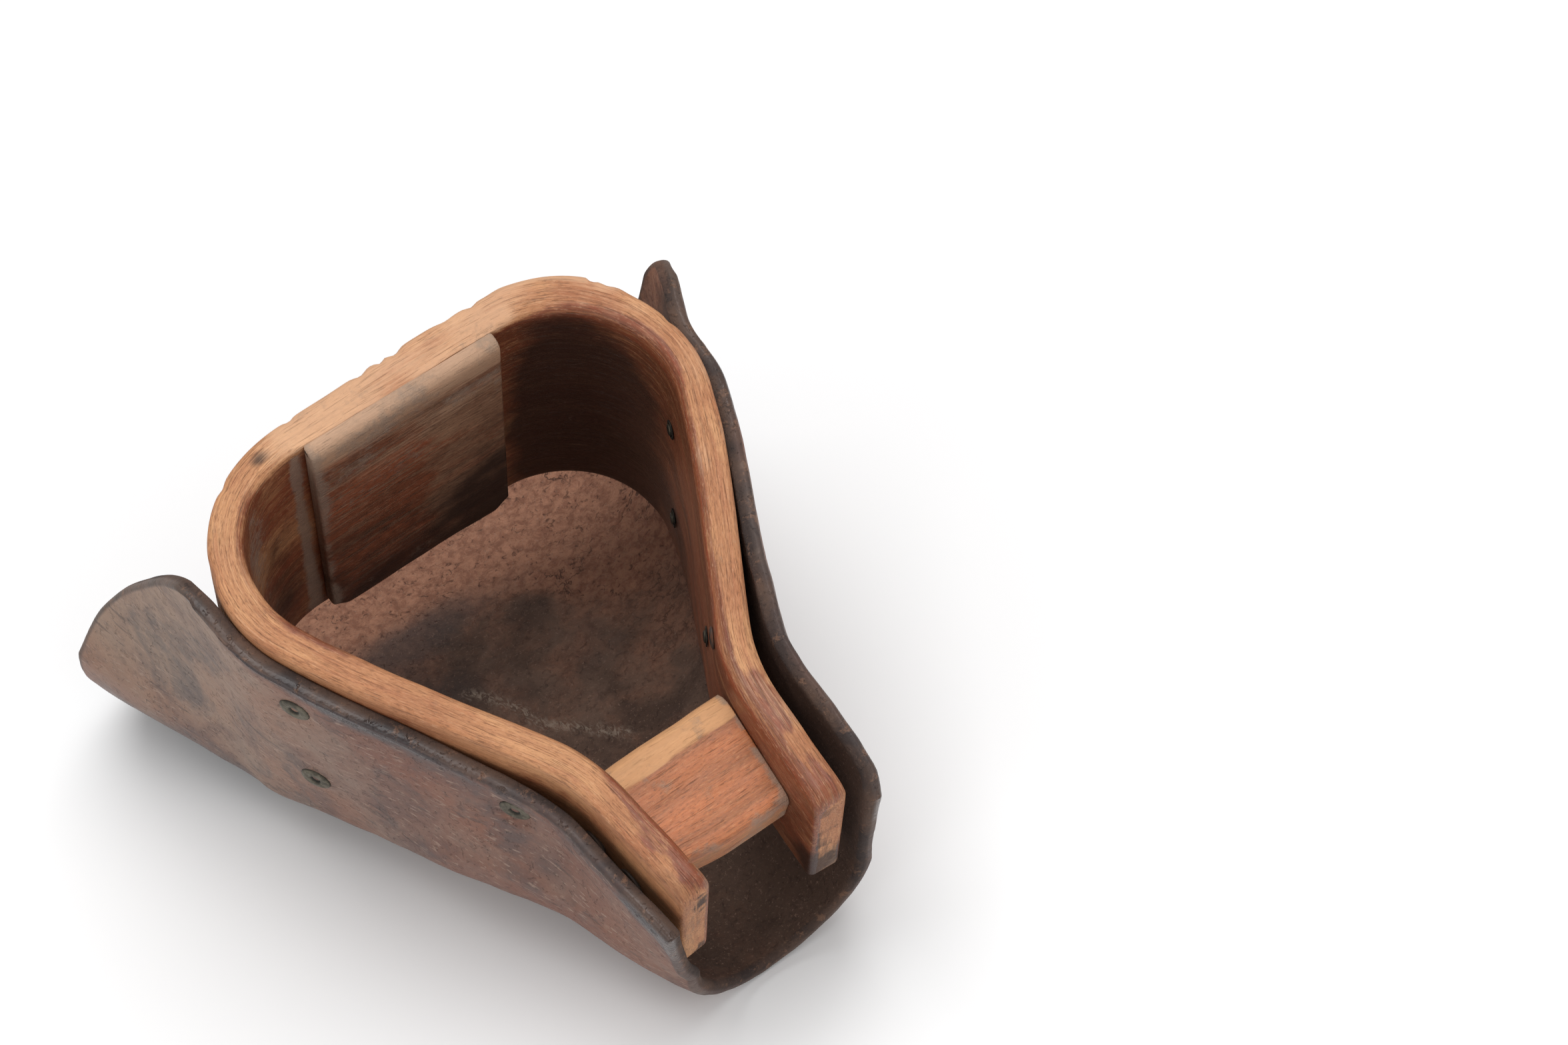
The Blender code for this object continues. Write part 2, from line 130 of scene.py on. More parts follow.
def curve(stations, value):
    """A smooth curve through (place, value) stations, flat at both ends, monotone between them."""
    x, y = np.array(stations, float).T
    slope = np.diff(y) / np.diff(x)
    tangent = np.zeros_like(y)
    both = slope[1:] * slope[:-1] > 0
    tangent[1:-1][both] = 2 / (1 / slope[1:][both] + 1 / slope[:-1][both])
    value = np.clip(value, x[0], x[-1])
    i = np.clip(np.searchsorted(x, value) - 1, 0, len(x) - 2)
    h = x[i + 1] - x[i]
    t = (value - x[i]) / h
    return ((1 + 2 * t) * (1 - t) ** 2 * y[i] + t * (1 - t) ** 2 * h * tangent[i]
            + t * t * (3 - 2 * t) * y[i + 1] + t * t * (t - 1) * h * tangent[i + 1])


# ---- the bow's line

def bow_line():
    """Distance, x, y and heading along the right half of the bow's outer face."""
    runs = ((TREAD_HALF, 0), (CORNER_RADIUS * CORNER_TURN, CORNER_TURN),
            (SIDE_RADIUS * SIDE_TURN, SIDE_TURN), (SIDE_LENGTH, 0), (NECK_RADIUS * -NECK_TURN, NECK_TURN),
            (EAR_LENGTH, 0))
    lengths, turns = np.array(runs).T
    distance = np.arange(0, lengths.sum(), 0.1 * MM)
    heading = np.interp(distance, np.append(0, lengths.cumsum()), np.append(0, turns.cumsum()))
    step = np.diff(distance)
    middle = (heading[1:] + heading[:-1]) / 2
    x = np.append(0, np.cumsum(step * np.cos(middle)))
    y = -np.append(0, np.cumsum(step * np.sin(middle)))
    return distance, x, y, heading


LINE_S, LINE_X, LINE_Y, LINE_HEADING = bow_line()
LINE_END = LINE_S[-1]


def line_at(s):
    """x, y and the outward normal of the bow's outer face at signed distance s from the tread's middle."""
    side = np.where(s < 0, -1.0, 1.0)
    far = np.abs(s)
    heading = np.interp(far, LINE_S, LINE_HEADING)
    return (side * np.interp(far, LINE_S, LINE_X), np.interp(far, LINE_S, LINE_Y),
            side * np.sin(heading), np.cos(heading))


def side_x(y):
    """The outer face's half width at height y, below the widest part of the corners."""
    past_end = np.minimum(y - LINE_Y[-1], 0)
    return np.interp(-y, -LINE_Y, LINE_X) + past_end * math.tan(EAR_LEAN)


def side_slant(y):
    """Half width taken by 1 unit of thickness along the outer face's normal."""
    return 1 / np.sin(np.interp(-y, -LINE_Y, LINE_HEADING))


def strip_depth(y):
    return TREAD_DEPTH + (EAR_DEPTH - TREAD_DEPTH) * smooth(TAPER_START, TAPER_END, y)


# ---- meshes

def add_object(name, points, faces, marks, material):
    """A smooth mesh from points in the stirrup's directions, laid by POSE, with named point attributes."""
    mesh = bpy.data.meshes.new(name)
    mesh.from_pydata(points.reshape(-1, 3).tolist(), [], faces)
    for mark, values in {"place": points, **marks}.items():
        vector = values.ndim > points.ndim - 1
        attribute = mesh.attributes.new(mark, "FLOAT_VECTOR" if vector else "FLOAT", "POINT")
        attribute.data.foreach_set("vector" if vector else "value", values.astype(np.float32).ravel())
    mesh.polygons.foreach_set("use_smooth", np.ones(len(mesh.polygons), bool))
    mesh.materials.append(material)
    mesh.transform(POSE)
    obj = bpy.data.objects.new(name, mesh)
    bpy.context.scene.collection.objects.link(obj)
    return obj


def finish_piece(obj, slot, *nodes):
    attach(obj, "root")
    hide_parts(*nodes)


def ring_faces(rings, around):
    """Quads between closed rings, and one face to close each end."""
    faces = []
    for ring in range(rings - 1):
        for k in range(around):
            a = ring * around + k
            b = ring * around + (k + 1) % around
            faces.append((a, b, b + around, a + around))
    faces.append(tuple(range(around - 1, -1, -1)))
    faces.append(tuple(range((rings - 1) * around, rings * around)))
    return faces


FACE_STEPS, EDGE_STEPS, ROUND_STEPS = 40, 7, 5


def bar_section(thickness, depth, radii, inset):
    """Rounded rectangles, one for each station: through 0..thickness and z 0..-depth.

    radii are those of the corners, in order: rear outer, rear inner, front inner, front outer.
    """
    thickness, depth = (np.atleast_1d(v)[:, None] * np.ones((len(inset), 1)) for v in (thickness, depth))
    inset = inset[:, None]
    radii = [np.maximum(np.atleast_1d(r)[:, None] - inset, 0.05 * MM) for r in radii]
    low, high = inset, thickness - inset
    top, bottom = -inset, -depth + inset
    corners = ((low, top, 1, -1), (high, top, -1, -1), (high, bottom, -1, 1), (low, bottom, 1, 1))
    through, z = [], []
    for k, (t_corner, z_corner, t_in, z_in) in enumerate(corners):
        r = radii[k]
        start = math.pi - k * math.pi / 2
        angle = start - np.linspace(0, 1, ROUND_STEPS) * math.pi / 2
        centre_t, centre_z = t_corner + t_in * r, z_corner + z_in * r
        arc_t = centre_t + r * np.cos(angle)
        arc_z = centre_z + r * np.sin(angle)
        through.append(arc_t)
        z.append(arc_z)
        next_t, next_z, next_t_in, next_z_in = corners[(k + 1) % 4]
        r_next = radii[(k + 1) % 4]
        steps = EDGE_STEPS if k % 2 == 0 else FACE_STEPS
        share = np.linspace(0, 1, steps + 2)[1:-1]
        end_t = next_t + (next_t_in * r_next if k % 2 == 0 else 0)
        end_z = next_z + (next_z_in * r_next if k % 2 == 1 else 0)
        from_t, from_z = arc_t[:, -1:], arc_z[:, -1:]
        through.append(from_t + share * (end_t - from_t))
        z.append(from_z + share * (end_z - from_z))
    return np.concatenate(through, axis=1), np.concatenate(z, axis=1)


def stations_with_ends(start, end, step, radius, deepest):
    """Stations from start to end and their insets, with rounded ends and rings that close the caps."""
    angle = np.linspace(0, math.pi / 2, 5)
    end_s = radius * (1 - np.cos(angle))
    end_inset = radius * (1 - np.sin(angle))
    caps = np.linspace(radius, deepest, 5)[:0:-1]
    low_s = np.concatenate([np.zeros(len(caps)), end_s])
    low_inset = np.concatenate([caps, end_inset])
    middle = np.linspace(start + radius, end - radius, int((end - start) / step) + 2)[1:-1]
    s = np.concatenate([start + low_s, middle, end - low_s[::-1]])
    inset = np.concatenate([low_inset, np.zeros(len(middle)), low_inset[::-1]])
    return s, inset


def add_bar(name, points, grain, paints, material):
    """A wooden bar from its rings of points. paints are varnish, stain with painted shade, bare wood with
    painted light, and dust at those points.
    """
    marks = {"grain": grain, **dict(zip(("varnish", "stain_and_shade", "bare_and_lit", "dust"), paints))}
    return add_object(name, points, ring_faces(*points.shape[:2]), marks, material)


def axes_round(axis):
    """Three arrays square to each other, the last along the axis."""
    z_axis = Vector(axis).normalized()
    x_axis = z_axis.orthogonal().normalized()
    return np.array(x_axis), np.array(z_axis.cross(x_axis)), np.array(z_axis)


def in_metres(profile, shift=0.0):
    """(radius, height) pairs given in mm, moved along the axis by shift."""
    return [(radius * MM, shift + height * MM) for radius, height in profile]


def turned(name, profile, centre, axis, material, sides=40, wear=0.06 * MM, seed=1):
    """A solid of revolution with slight unevenness. The profile runs from axis to axis, top first."""
    profile = np.array(profile)
    angle = np.arange(sides) / sides * 2 * math.pi
    x_axis, y_axis, z_axis = axes_round(axis)
    centre = np.array(centre)
    radius = profile[1:-1, 0][:, None]
    height = profile[1:-1, 1][:, None]
    rings = (centre + (radius * np.cos(angle))[..., None] * x_axis
             + (radius * np.sin(angle))[..., None] * y_axis + (height + 0 * angle)[..., None] * z_axis)
    rings += wear * fractal(rings, 2.5, seed)[..., None] * z_axis
    points = np.concatenate([(centre + z_axis * profile[0, 1])[None], rings.reshape(-1, 3),
                             (centre + z_axis * profile[-1, 1])[None]])
    faces = []
    last = len(points) - 1
    for k in range(sides):
        after = (k + 1) % sides
        faces.append((0, 1 + k, 1 + after))
        for ring in range(len(rings) - 1):
            a = 1 + ring * sides
            faces.append((a + k, a + sides + k, a + sides + after, a + after))
        a = 1 + (len(rings) - 1) * sides
        faces.append((a + k, last, a + after))
    radial = np.concatenate([[0], (radius + 0 * angle).ravel(), [0]])
    return add_object(name, points, faces, {"radial": radial}, material)


# ---- materials

class Paint:
    """Short names for the shader nodes that the materials here are made of."""

    def __init__(self, name):
        self.material = bpy.data.materials.new(name)
        self.material.use_nodes = True
        self.tree = self.material.node_tree
        self.shader = self.tree.nodes["Principled BSDF"]

    def node(self, kind, inputs=(), **settings):
        made = self.tree.nodes.new(kind)
        for key, value in settings.items():
            setattr(made, key, value)
        for key, value in dict(inputs).items():
            self.feed(made.inputs[key], value)
        return made

    def feed(self, socket, value):
        if isinstance(value, bpy.types.NodeSocket):
            self.tree.links.new(value, socket)
        elif isinstance(value, tuple) and len(value) == 3 and socket.type == "RGBA":
            socket.default_value = (*value, 1)
        else:
            socket.default_value = value

    def mark(self, name, vector=False):
        made = self.node("ShaderNodeAttribute", attribute_name=name)
        return made.outputs["Vector" if vector else "Fac"]

    def place(self):
        """The point's place in the stirrup's own directions, in metres."""
        return self.mark("place", vector=True)

    def stretched(self, vector, scale, shift):
        made = self.node("ShaderNodeMapping", {"Vector": vector, "Scale": scale, "Location": shift})
        return made.outputs["Vector"]

    def noise(self, vector, scale=1.0, detail=3.0, roughness=0.55, distortion=0.0):
        made = self.node("ShaderNodeTexNoise", {
            "Vector": vector, "Scale": scale, "Detail": detail, "Roughness": roughness,
            "Distortion": distortion})
        return made.outputs["Fac"]

    def streaks(self, vector, scale, shift, detail, roughness, distortion=0.0):
        """Noise with its own scale along each direction."""
        return self.noise(self.stretched(vector, scale, shift), 1, detail, roughness, distortion)

    def cells(self, vector, scale, feature="F1"):
        made = self.node("ShaderNodeTexVoronoi", {"Vector": vector, "Scale": scale}, feature=feature)
        return made.outputs["Distance"]

    def step(self, value, low, high, bottom=0.0, top=1.0):
        made = self.node("ShaderNodeMapRange", {
            "Value": value, "From Min": low, "From Max": high, "To Min": bottom, "To Max": top},
            interpolation_type="SMOOTHSTEP")
        return made.outputs["Result"]

    def math(self, operation, a, b=0.0):
        made = self.node("ShaderNodeMath", {0: a, 1: b}, operation=operation, use_clamp=False)
        return made.outputs[0]

    def times(self, a, b):
        return self.math("MULTIPLY", a, b)

    def plus(self, a, b):
        return self.math("ADD", a, b)

    def minus(self, a, b):
        return self.math("SUBTRACT", a, b)

    def mix(self, share, a, b):
        made = self.node("ShaderNodeMix", data_type="RGBA", blend_type="MIX")
        for index, value in ((0, share), (6, a), (7, b)):
            self.feed(made.inputs[index], value)
        return made.outputs[2]

    def over(self, colour, value, low, high, share, tint):
        """The colour, covered by this share of the tint where the value rises from low to high."""
        return self.mix(self.step(value, low, high, 0.0, share), colour, tint)

    def tint(self, colour, mask, share, tint):
        return self.mix(self.times(mask, share), colour, tint)

    def blotch(self, mask, noise, spread=0.5, edge=0.12):
        """A mask broken up by noise, so that its border is ragged."""
        shifted = self.plus(mask, self.times(self.minus(noise, 0.5), spread))
        return self.step(shifted, 0.5 - edge, 0.5 + edge)

    def finish(self, colour, roughness, height, distance, strength=1.0):
        bump = self.node("ShaderNodeBump", {"Height": height, "Distance": distance, "Strength": strength})
        self.feed(self.shader.inputs["Base Color"], colour)
        self.feed(self.shader.inputs["Roughness"], roughness)
        self.feed(self.shader.inputs["Normal"], bump.outputs["Normal"])
        return self.material


def scaled(colour, factor):
    return tuple(factor * c for c in colour)


def wood(name, light, dark, red, pale, scraping, specular=0.35):
    """Oak, partly varnished. Marks on the mesh say where it is red, stained, dusty or rubbed bare, and
    where shade and light are painted on it.
    """
    p = Paint(name)
    grain = p.mark("grain", vector=True)
    place = p.place()
    tone = p.noise(place, 22, 4, 0.6)
    bands = p.streaks(grain, (9, 620, 75), (0, 0, 0), 3, 0.55, 0.6)
    fibres = p.streaks(grain, (45, 1500, 1100), (0, 0, 0), 4, 0.7)
    rings = p.streaks(grain, (7, 1150, 240), (5, 2, 7), 3, 0.62, 0.5)
    pores = p.streaks(grain, (85, 3000, 1500), (3, 1, 2), 2, 0.6)
    grit = p.streaks(grain, (420, 2300, 1700), (2, 8, 5), 3, 0.7)
    scrapes = p.streaks(grain, (26, 700, 460), (9, 1, 3), 4, 0.68, 1.0)
    fine = p.noise(place, 900, 3, 0.7)
    patches = p.noise(place, 140, 5, 0.65)

    colour = p.mix(p.step(tone, 0.35, 0.65), light, dark)
    colour = p.over(colour, bands, 0.42, 0.62, 0.45, dark)
    varnish = p.blotch(p.mark("varnish"), p.times(p.plus(patches, fibres), 0.5), 1.1, 0.16)
    reddened = p.mix(p.step(bands, 0.35, 0.7), red, scaled(red, 0.55))
    patchy = p.streaks(grain, (16, 190, 120), (7, 3, 1), 5, 0.72, 0.8)
    colour = p.over(colour, patchy, 0.5, 0.66, 0.35, scaled(red, 1.25))
    scraped = p.times(p.step(scrapes, 0.53, 0.58, 0.0, scraping), varnish)
    colour = p.mix(p.minus(varnish, scraped), colour, reddened)
    colour = p.over(colour, rings, 0.48, 0.66, 0.45, scaled(dark, 0.5))
    line = p.step(pores, 0.59, 0.70, 0.0, 0.5)
    colour = p.mix(line, colour, (0.085, 0.035, 0.022))
    colour = p.mix(p.step(fibres, 0.3, 0.75, 0.35, 0.0), colour, scaled(dark, 0.45))
    colour = p.over(colour, grit, 0.5, 0.68, 0.6, scaled(dark, 0.35))
    colour = p.over(colour, grit, 0.46, 0.3, 0.3, pale)
    # stains, and painted shade on the parts that lie deep or low
    stain_and_shade = p.blotch(p.mark("stain_and_shade"), p.times(p.plus(patches, bands), 0.5), 0.9, 0.3)
    colour = p.tint(colour, stain_and_shade, 0.88, (0.022, 0.011, 0.009))
    # rubbed bare wood, and on the tread block painted light towards its top
    bare_and_lit = p.blotch(p.mark("bare_and_lit"), fibres, 0.9, 0.2)
    colour = p.tint(colour, bare_and_lit, 0.6, pale)
    dust = p.blotch(p.mark("dust"), p.noise(place, 420, 5, 0.7), 1.0, 0.22)
    colour = p.tint(colour, dust, 0.7, (0.29, 0.215, 0.165))
    specks = p.step(p.cells(place, 520), 0.09, 0.05)
    colour = p.mix(p.times(specks, p.step(tone, 0.4, 0.7, 0.1, 0.6)), colour, (0.04, 0.022, 0.016))

    rough = p.step(varnish, 0, 1, 0.62, 0.36)
    rough = p.plus(rough, p.times(dust, 0.4))
    rough = p.plus(rough, p.times(p.minus(fine, 0.5), 0.25))
    height = p.plus(p.times(fibres, 0.5), p.times(line, -0.8))
    height = p.minus(height, p.times(rings, 0.5))
    height = p.plus(height, p.times(p.times(dust, fine), 1.2))
    height = p.plus(height, p.times(fine, 0.12))
    height = p.minus(height, p.times(scraped, 0.4))
    p.shader.inputs["Specular IOR Level"].default_value = specular
    return p.finish(colour, rough, height, 0.25 * MM)


def leather():
    """Old bridle leather: worn grain side outside, flesh side inside, burnished edges."""
    p = Paint("hood_leather")
    place = p.place()
    inside = p.mark("inside")
    edge = p.mark("edge")
    tone = p.noise(place, 16, 4, 0.6)
    cloud = p.noise(place, 45, 5, 0.62, 0.4)
    fine = p.noise(place, 700, 4, 0.7)
    pebble = p.cells(place, 900)
    scratch_a = p.streaks(place, (18, 260, 900), (0, 0, 0), 2, 0.5)
    scratch_b = p.streaks(place, (300, 30, 420), (1, 4, 2), 2, 0.5)

    grey, red, dark = (0.20, 0.128, 0.098), (0.205, 0.088, 0.055), (0.020, 0.018, 0.021)
    outer = p.mix(p.step(tone, 0.38, 0.62), grey, red)
    outer = p.over(outer, p.mark("worn"), 0, 1, 0.55, (0.33, 0.222, 0.15))
    reddened = p.blotch(p.mark("red"), cloud, 1.1, 0.25)
    outer = p.tint(outer, reddened, 0.75, (0.16, 0.055, 0.032))
    outer = p.over(outer, cloud, 0.45, 0.7, 0.6, (0.10, 0.066, 0.058))
    blue_patches = p.step(p.noise(place, 24, 5, 0.66, 0.6), 0.52, 0.66, 0.0, 0.6)
    outer = p.mix(blue_patches, outer, (0.062, 0.056, 0.058))
    mottle = p.noise(place, 260, 5, 0.75)
    outer = p.over(outer, mottle, 0.5, 0.7, 0.4, (0.07, 0.043, 0.034))
    outer = p.over(outer, mottle, 0.45, 0.3, 0.25, (0.36, 0.25, 0.18))
    scuffs = p.step(scratch_a, 0.60, 0.68, 0.0, 0.55)
    outer = p.mix(scuffs, outer, (0.34, 0.235, 0.18))
    nicks = p.step(scratch_b, 0.645, 0.70, 0.0, 0.5)
    outer = p.mix(nicks, outer, (0.06, 0.04, 0.035))
    # burnished band and edges, and painted shade low on the outside towards the fold
    burnished_and_shade = p.blotch(p.mark("dark"), cloud, 0.7, 0.3)
    outer = p.tint(outer, burnished_and_shade, 0.86, dark)

    crumbs = p.noise(place, 290, 6, 0.75, 0.4)
    flesh = p.mix(p.step(cloud, 0.35, 0.65), (0.082, 0.047, 0.033), (0.15, 0.092, 0.066))
    flesh = p.over(flesh, crumbs, 0.52, 0.68, 0.5, (0.045, 0.024, 0.018))
    dusty = p.blotch(p.mark("dusty"), p.noise(place, 90, 6, 0.72, 0.7), 1.1, 0.42)
    crust = p.mix(p.step(crumbs, 0.4, 0.62), (0.40, 0.19, 0.115), (0.25, 0.105, 0.062))
    flesh = p.tint(flesh, dusty, 0.85, crust)
    blue = p.blotch(p.mark("blue"), p.noise(place, 38, 5, 0.65, 0.5), 0.8, 0.4)
    flesh = p.tint(flesh, blue, 0.72, (0.05, 0.045, 0.045))
    shade = p.blotch(p.mark("shade"), cloud, 0.8, 0.4)
    flesh = p.tint(flesh, shade, 0.65, (0.042, 0.02, 0.012))
    flakes = p.step(p.noise(place, 420, 4, 0.65, 0.9), 0.58, 0.68, 0.0, 0.7)
    flesh = p.mix(p.times(flakes, p.step(dusty, 0, 1, 0.2, 1.0)), flesh, (0.06, 0.02, 0.012))
    winding = p.math("ABSOLUTE", p.minus(p.noise(place, 24, 6, 0.66, 0.3), 0.5))
    cracks = p.times(p.step(winding, 0.008, 0.002), p.times(dusty, inside))
    cracks = p.times(cracks, p.step(p.noise(place, 26, 1, 0.5), 0.50, 0.60))
    flesh = p.tint(flesh, cracks, 0.8, (0.05, 0.017, 0.01))
    fluff = p.step(p.noise(place, 1100, 3, 0.75), 0.57, 0.70, 0.0, 0.5)
    flesh = p.mix(fluff, flesh, (0.30, 0.19, 0.14))
    strands = p.streaks(place, (700, 260, 300), (0, 0, 0), 4, 0.7, 1.5)
    lint = p.times(p.mark("lint"), p.step(strands, 0.44, 0.60))
    flesh = p.tint(flesh, lint, 0.75, (0.34, 0.27, 0.21))

    colour = p.mix(inside, outer, flesh)
    rim = p.step(edge, 2.6 * MM, 1.2 * MM)
    rim_tone = p.mix(p.step(cloud, 0.4, 0.62), (0.026, 0.02, 0.02), (0.085, 0.05, 0.036))
    colour = p.tint(colour, rim, 0.75, rim_tone)
    worn = p.times(p.step(edge, 4.5 * MM, 0.5 * MM), p.step(p.noise(place, 210, 5, 0.75), 0.55, 0.66))
    colour = p.tint(colour, worn, 0.5, (0.24, 0.125, 0.075))
    pits = p.step(p.cells(place, 1300), 0.12, 0.07, 0.0, 0.6)
    colour = p.mix(p.times(pits, p.minus(1.0, inside)), colour, (0.04, 0.03, 0.028))

    rough = p.step(inside, 0, 1, 0.58, 0.92)
    rough = p.minus(rough, p.times(burnished_and_shade, p.times(p.minus(1.0, inside), 0.32)))
    rough = p.plus(rough, p.times(p.minus(fine, 0.5), 0.25))
    nap = p.times(p.noise(place, 1100, 4, 0.75), p.step(inside, 0, 1, 0.15, 1.3))
    height = p.plus(nap, p.times(pebble, 0.25))
    height = p.plus(height, p.times(p.plus(scuffs, nicks), -0.35))
    crumbled = p.times(p.times(crumbs, inside), p.step(dusty, 0, 1, 1.5, 5.0))
    height = p.plus(height, crumbled)
    height = p.minus(height, p.times(p.plus(cracks, flakes), 1.2))
    p.shader.inputs["Specular IOR Level"].default_value = 0.4
    return p.finish(colour, rough, height, 0.3 * MM)


def metal(name, base, tarnish, shine=0.5):
    """Old metal: tarnish over a duller base, with painted shade for a hole at the middle and for the gap
    round the rim.
    """
    p = Paint(name)
    place = p.place()
    cloud = p.noise(place, 380, 5, 0.65)
    fine = p.noise(place, 1900, 3, 0.7)
    radial = p.mark("radial")
    colour = p.mix(p.step(cloud, 0.4, 0.65), base, tarnish)
    # painted shade: near black at the middle stands in for a rivet's hole
    hollow = p.step(radial, 2.1 * MM, 1.4 * MM)
    colour = p.tint(colour, hollow, 0.85, (0.012, 0.012, 0.01))
    # painted shade: a dark band near the rim stands in for the gap round a rivet head
    ring = p.step(radial, 4.3 * MM, 4.9 * MM, 0.0, 0.7)
    colour = p.mix(ring, colour, (0.02, 0.018, 0.015))
    p.shader.inputs["Metallic"].default_value = 0.55
    p.shader.inputs["Specular IOR Level"].default_value = 0.4
    rough = p.step(cloud, 0.3, 0.7, shine, shine + 0.25)
    return p.finish(colour, rough, p.plus(cloud, p.times(fine, 0.4)), 0.15 * MM)


BOW_WOOD = wood("bow_wood", light=(0.66, 0.335, 0.155), dark=(0.44, 0.18, 0.08),
                red=(0.26, 0.062, 0.028), pale=(0.66, 0.40, 0.24), scraping=0.4)
BLOCK_WOOD = wood("tread_wood", light=(0.42, 0.235, 0.14), dark=(0.24, 0.12, 0.07),
                  red=(0.38, 0.11, 0.05), pale=(0.58, 0.37, 0.24), scraping=0.85)
TRANSOM_WOOD = wood("transom_wood", light=(0.60, 0.30, 0.14), dark=(0.44, 0.175, 0.075),
                    red=(0.60, 0.20, 0.078), pale=(0.66, 0.36, 0.17), scraping=0.2)
HOOD_LEATHER = leather()
RIVET_METAL = metal("rivet_brass", (0.13, 0.113, 0.08), (0.07, 0.062, 0.047))
DARK_METAL = metal("rivet_end", (0.05, 0.043, 0.034), (0.022, 0.02, 0.017), 0.65)
IRON = metal("iron", (0.09, 0.07, 0.06), (0.16, 0.075, 0.045), 0.6)


# ---- bow

# Chips out of its rear arris, in mm: (distance from the middle, width, depth)
CHIPS = ((-6, 2.2, 1.0), (1, 1.4, 1.3), (6, 2.4, 1.4), (-31, 1.5, 0.7), (24, 3.0, 0.6), (33, 1.6, 0.8),
         (74, 2.5, 0.7), (-60, 2.0, 0.6), (-88, 3.5, 0.7), (96, 2, 0.5))
# How far the outer face stands out at the tread, in mm: (distance from the middle, swell)
TREAD_SWELL = ((-45, 0), (-20, 0.7), (5, 2.2), (22, 2.3), (36, 1.8), (60, 1.6), (78, 0.6), (98, 0))


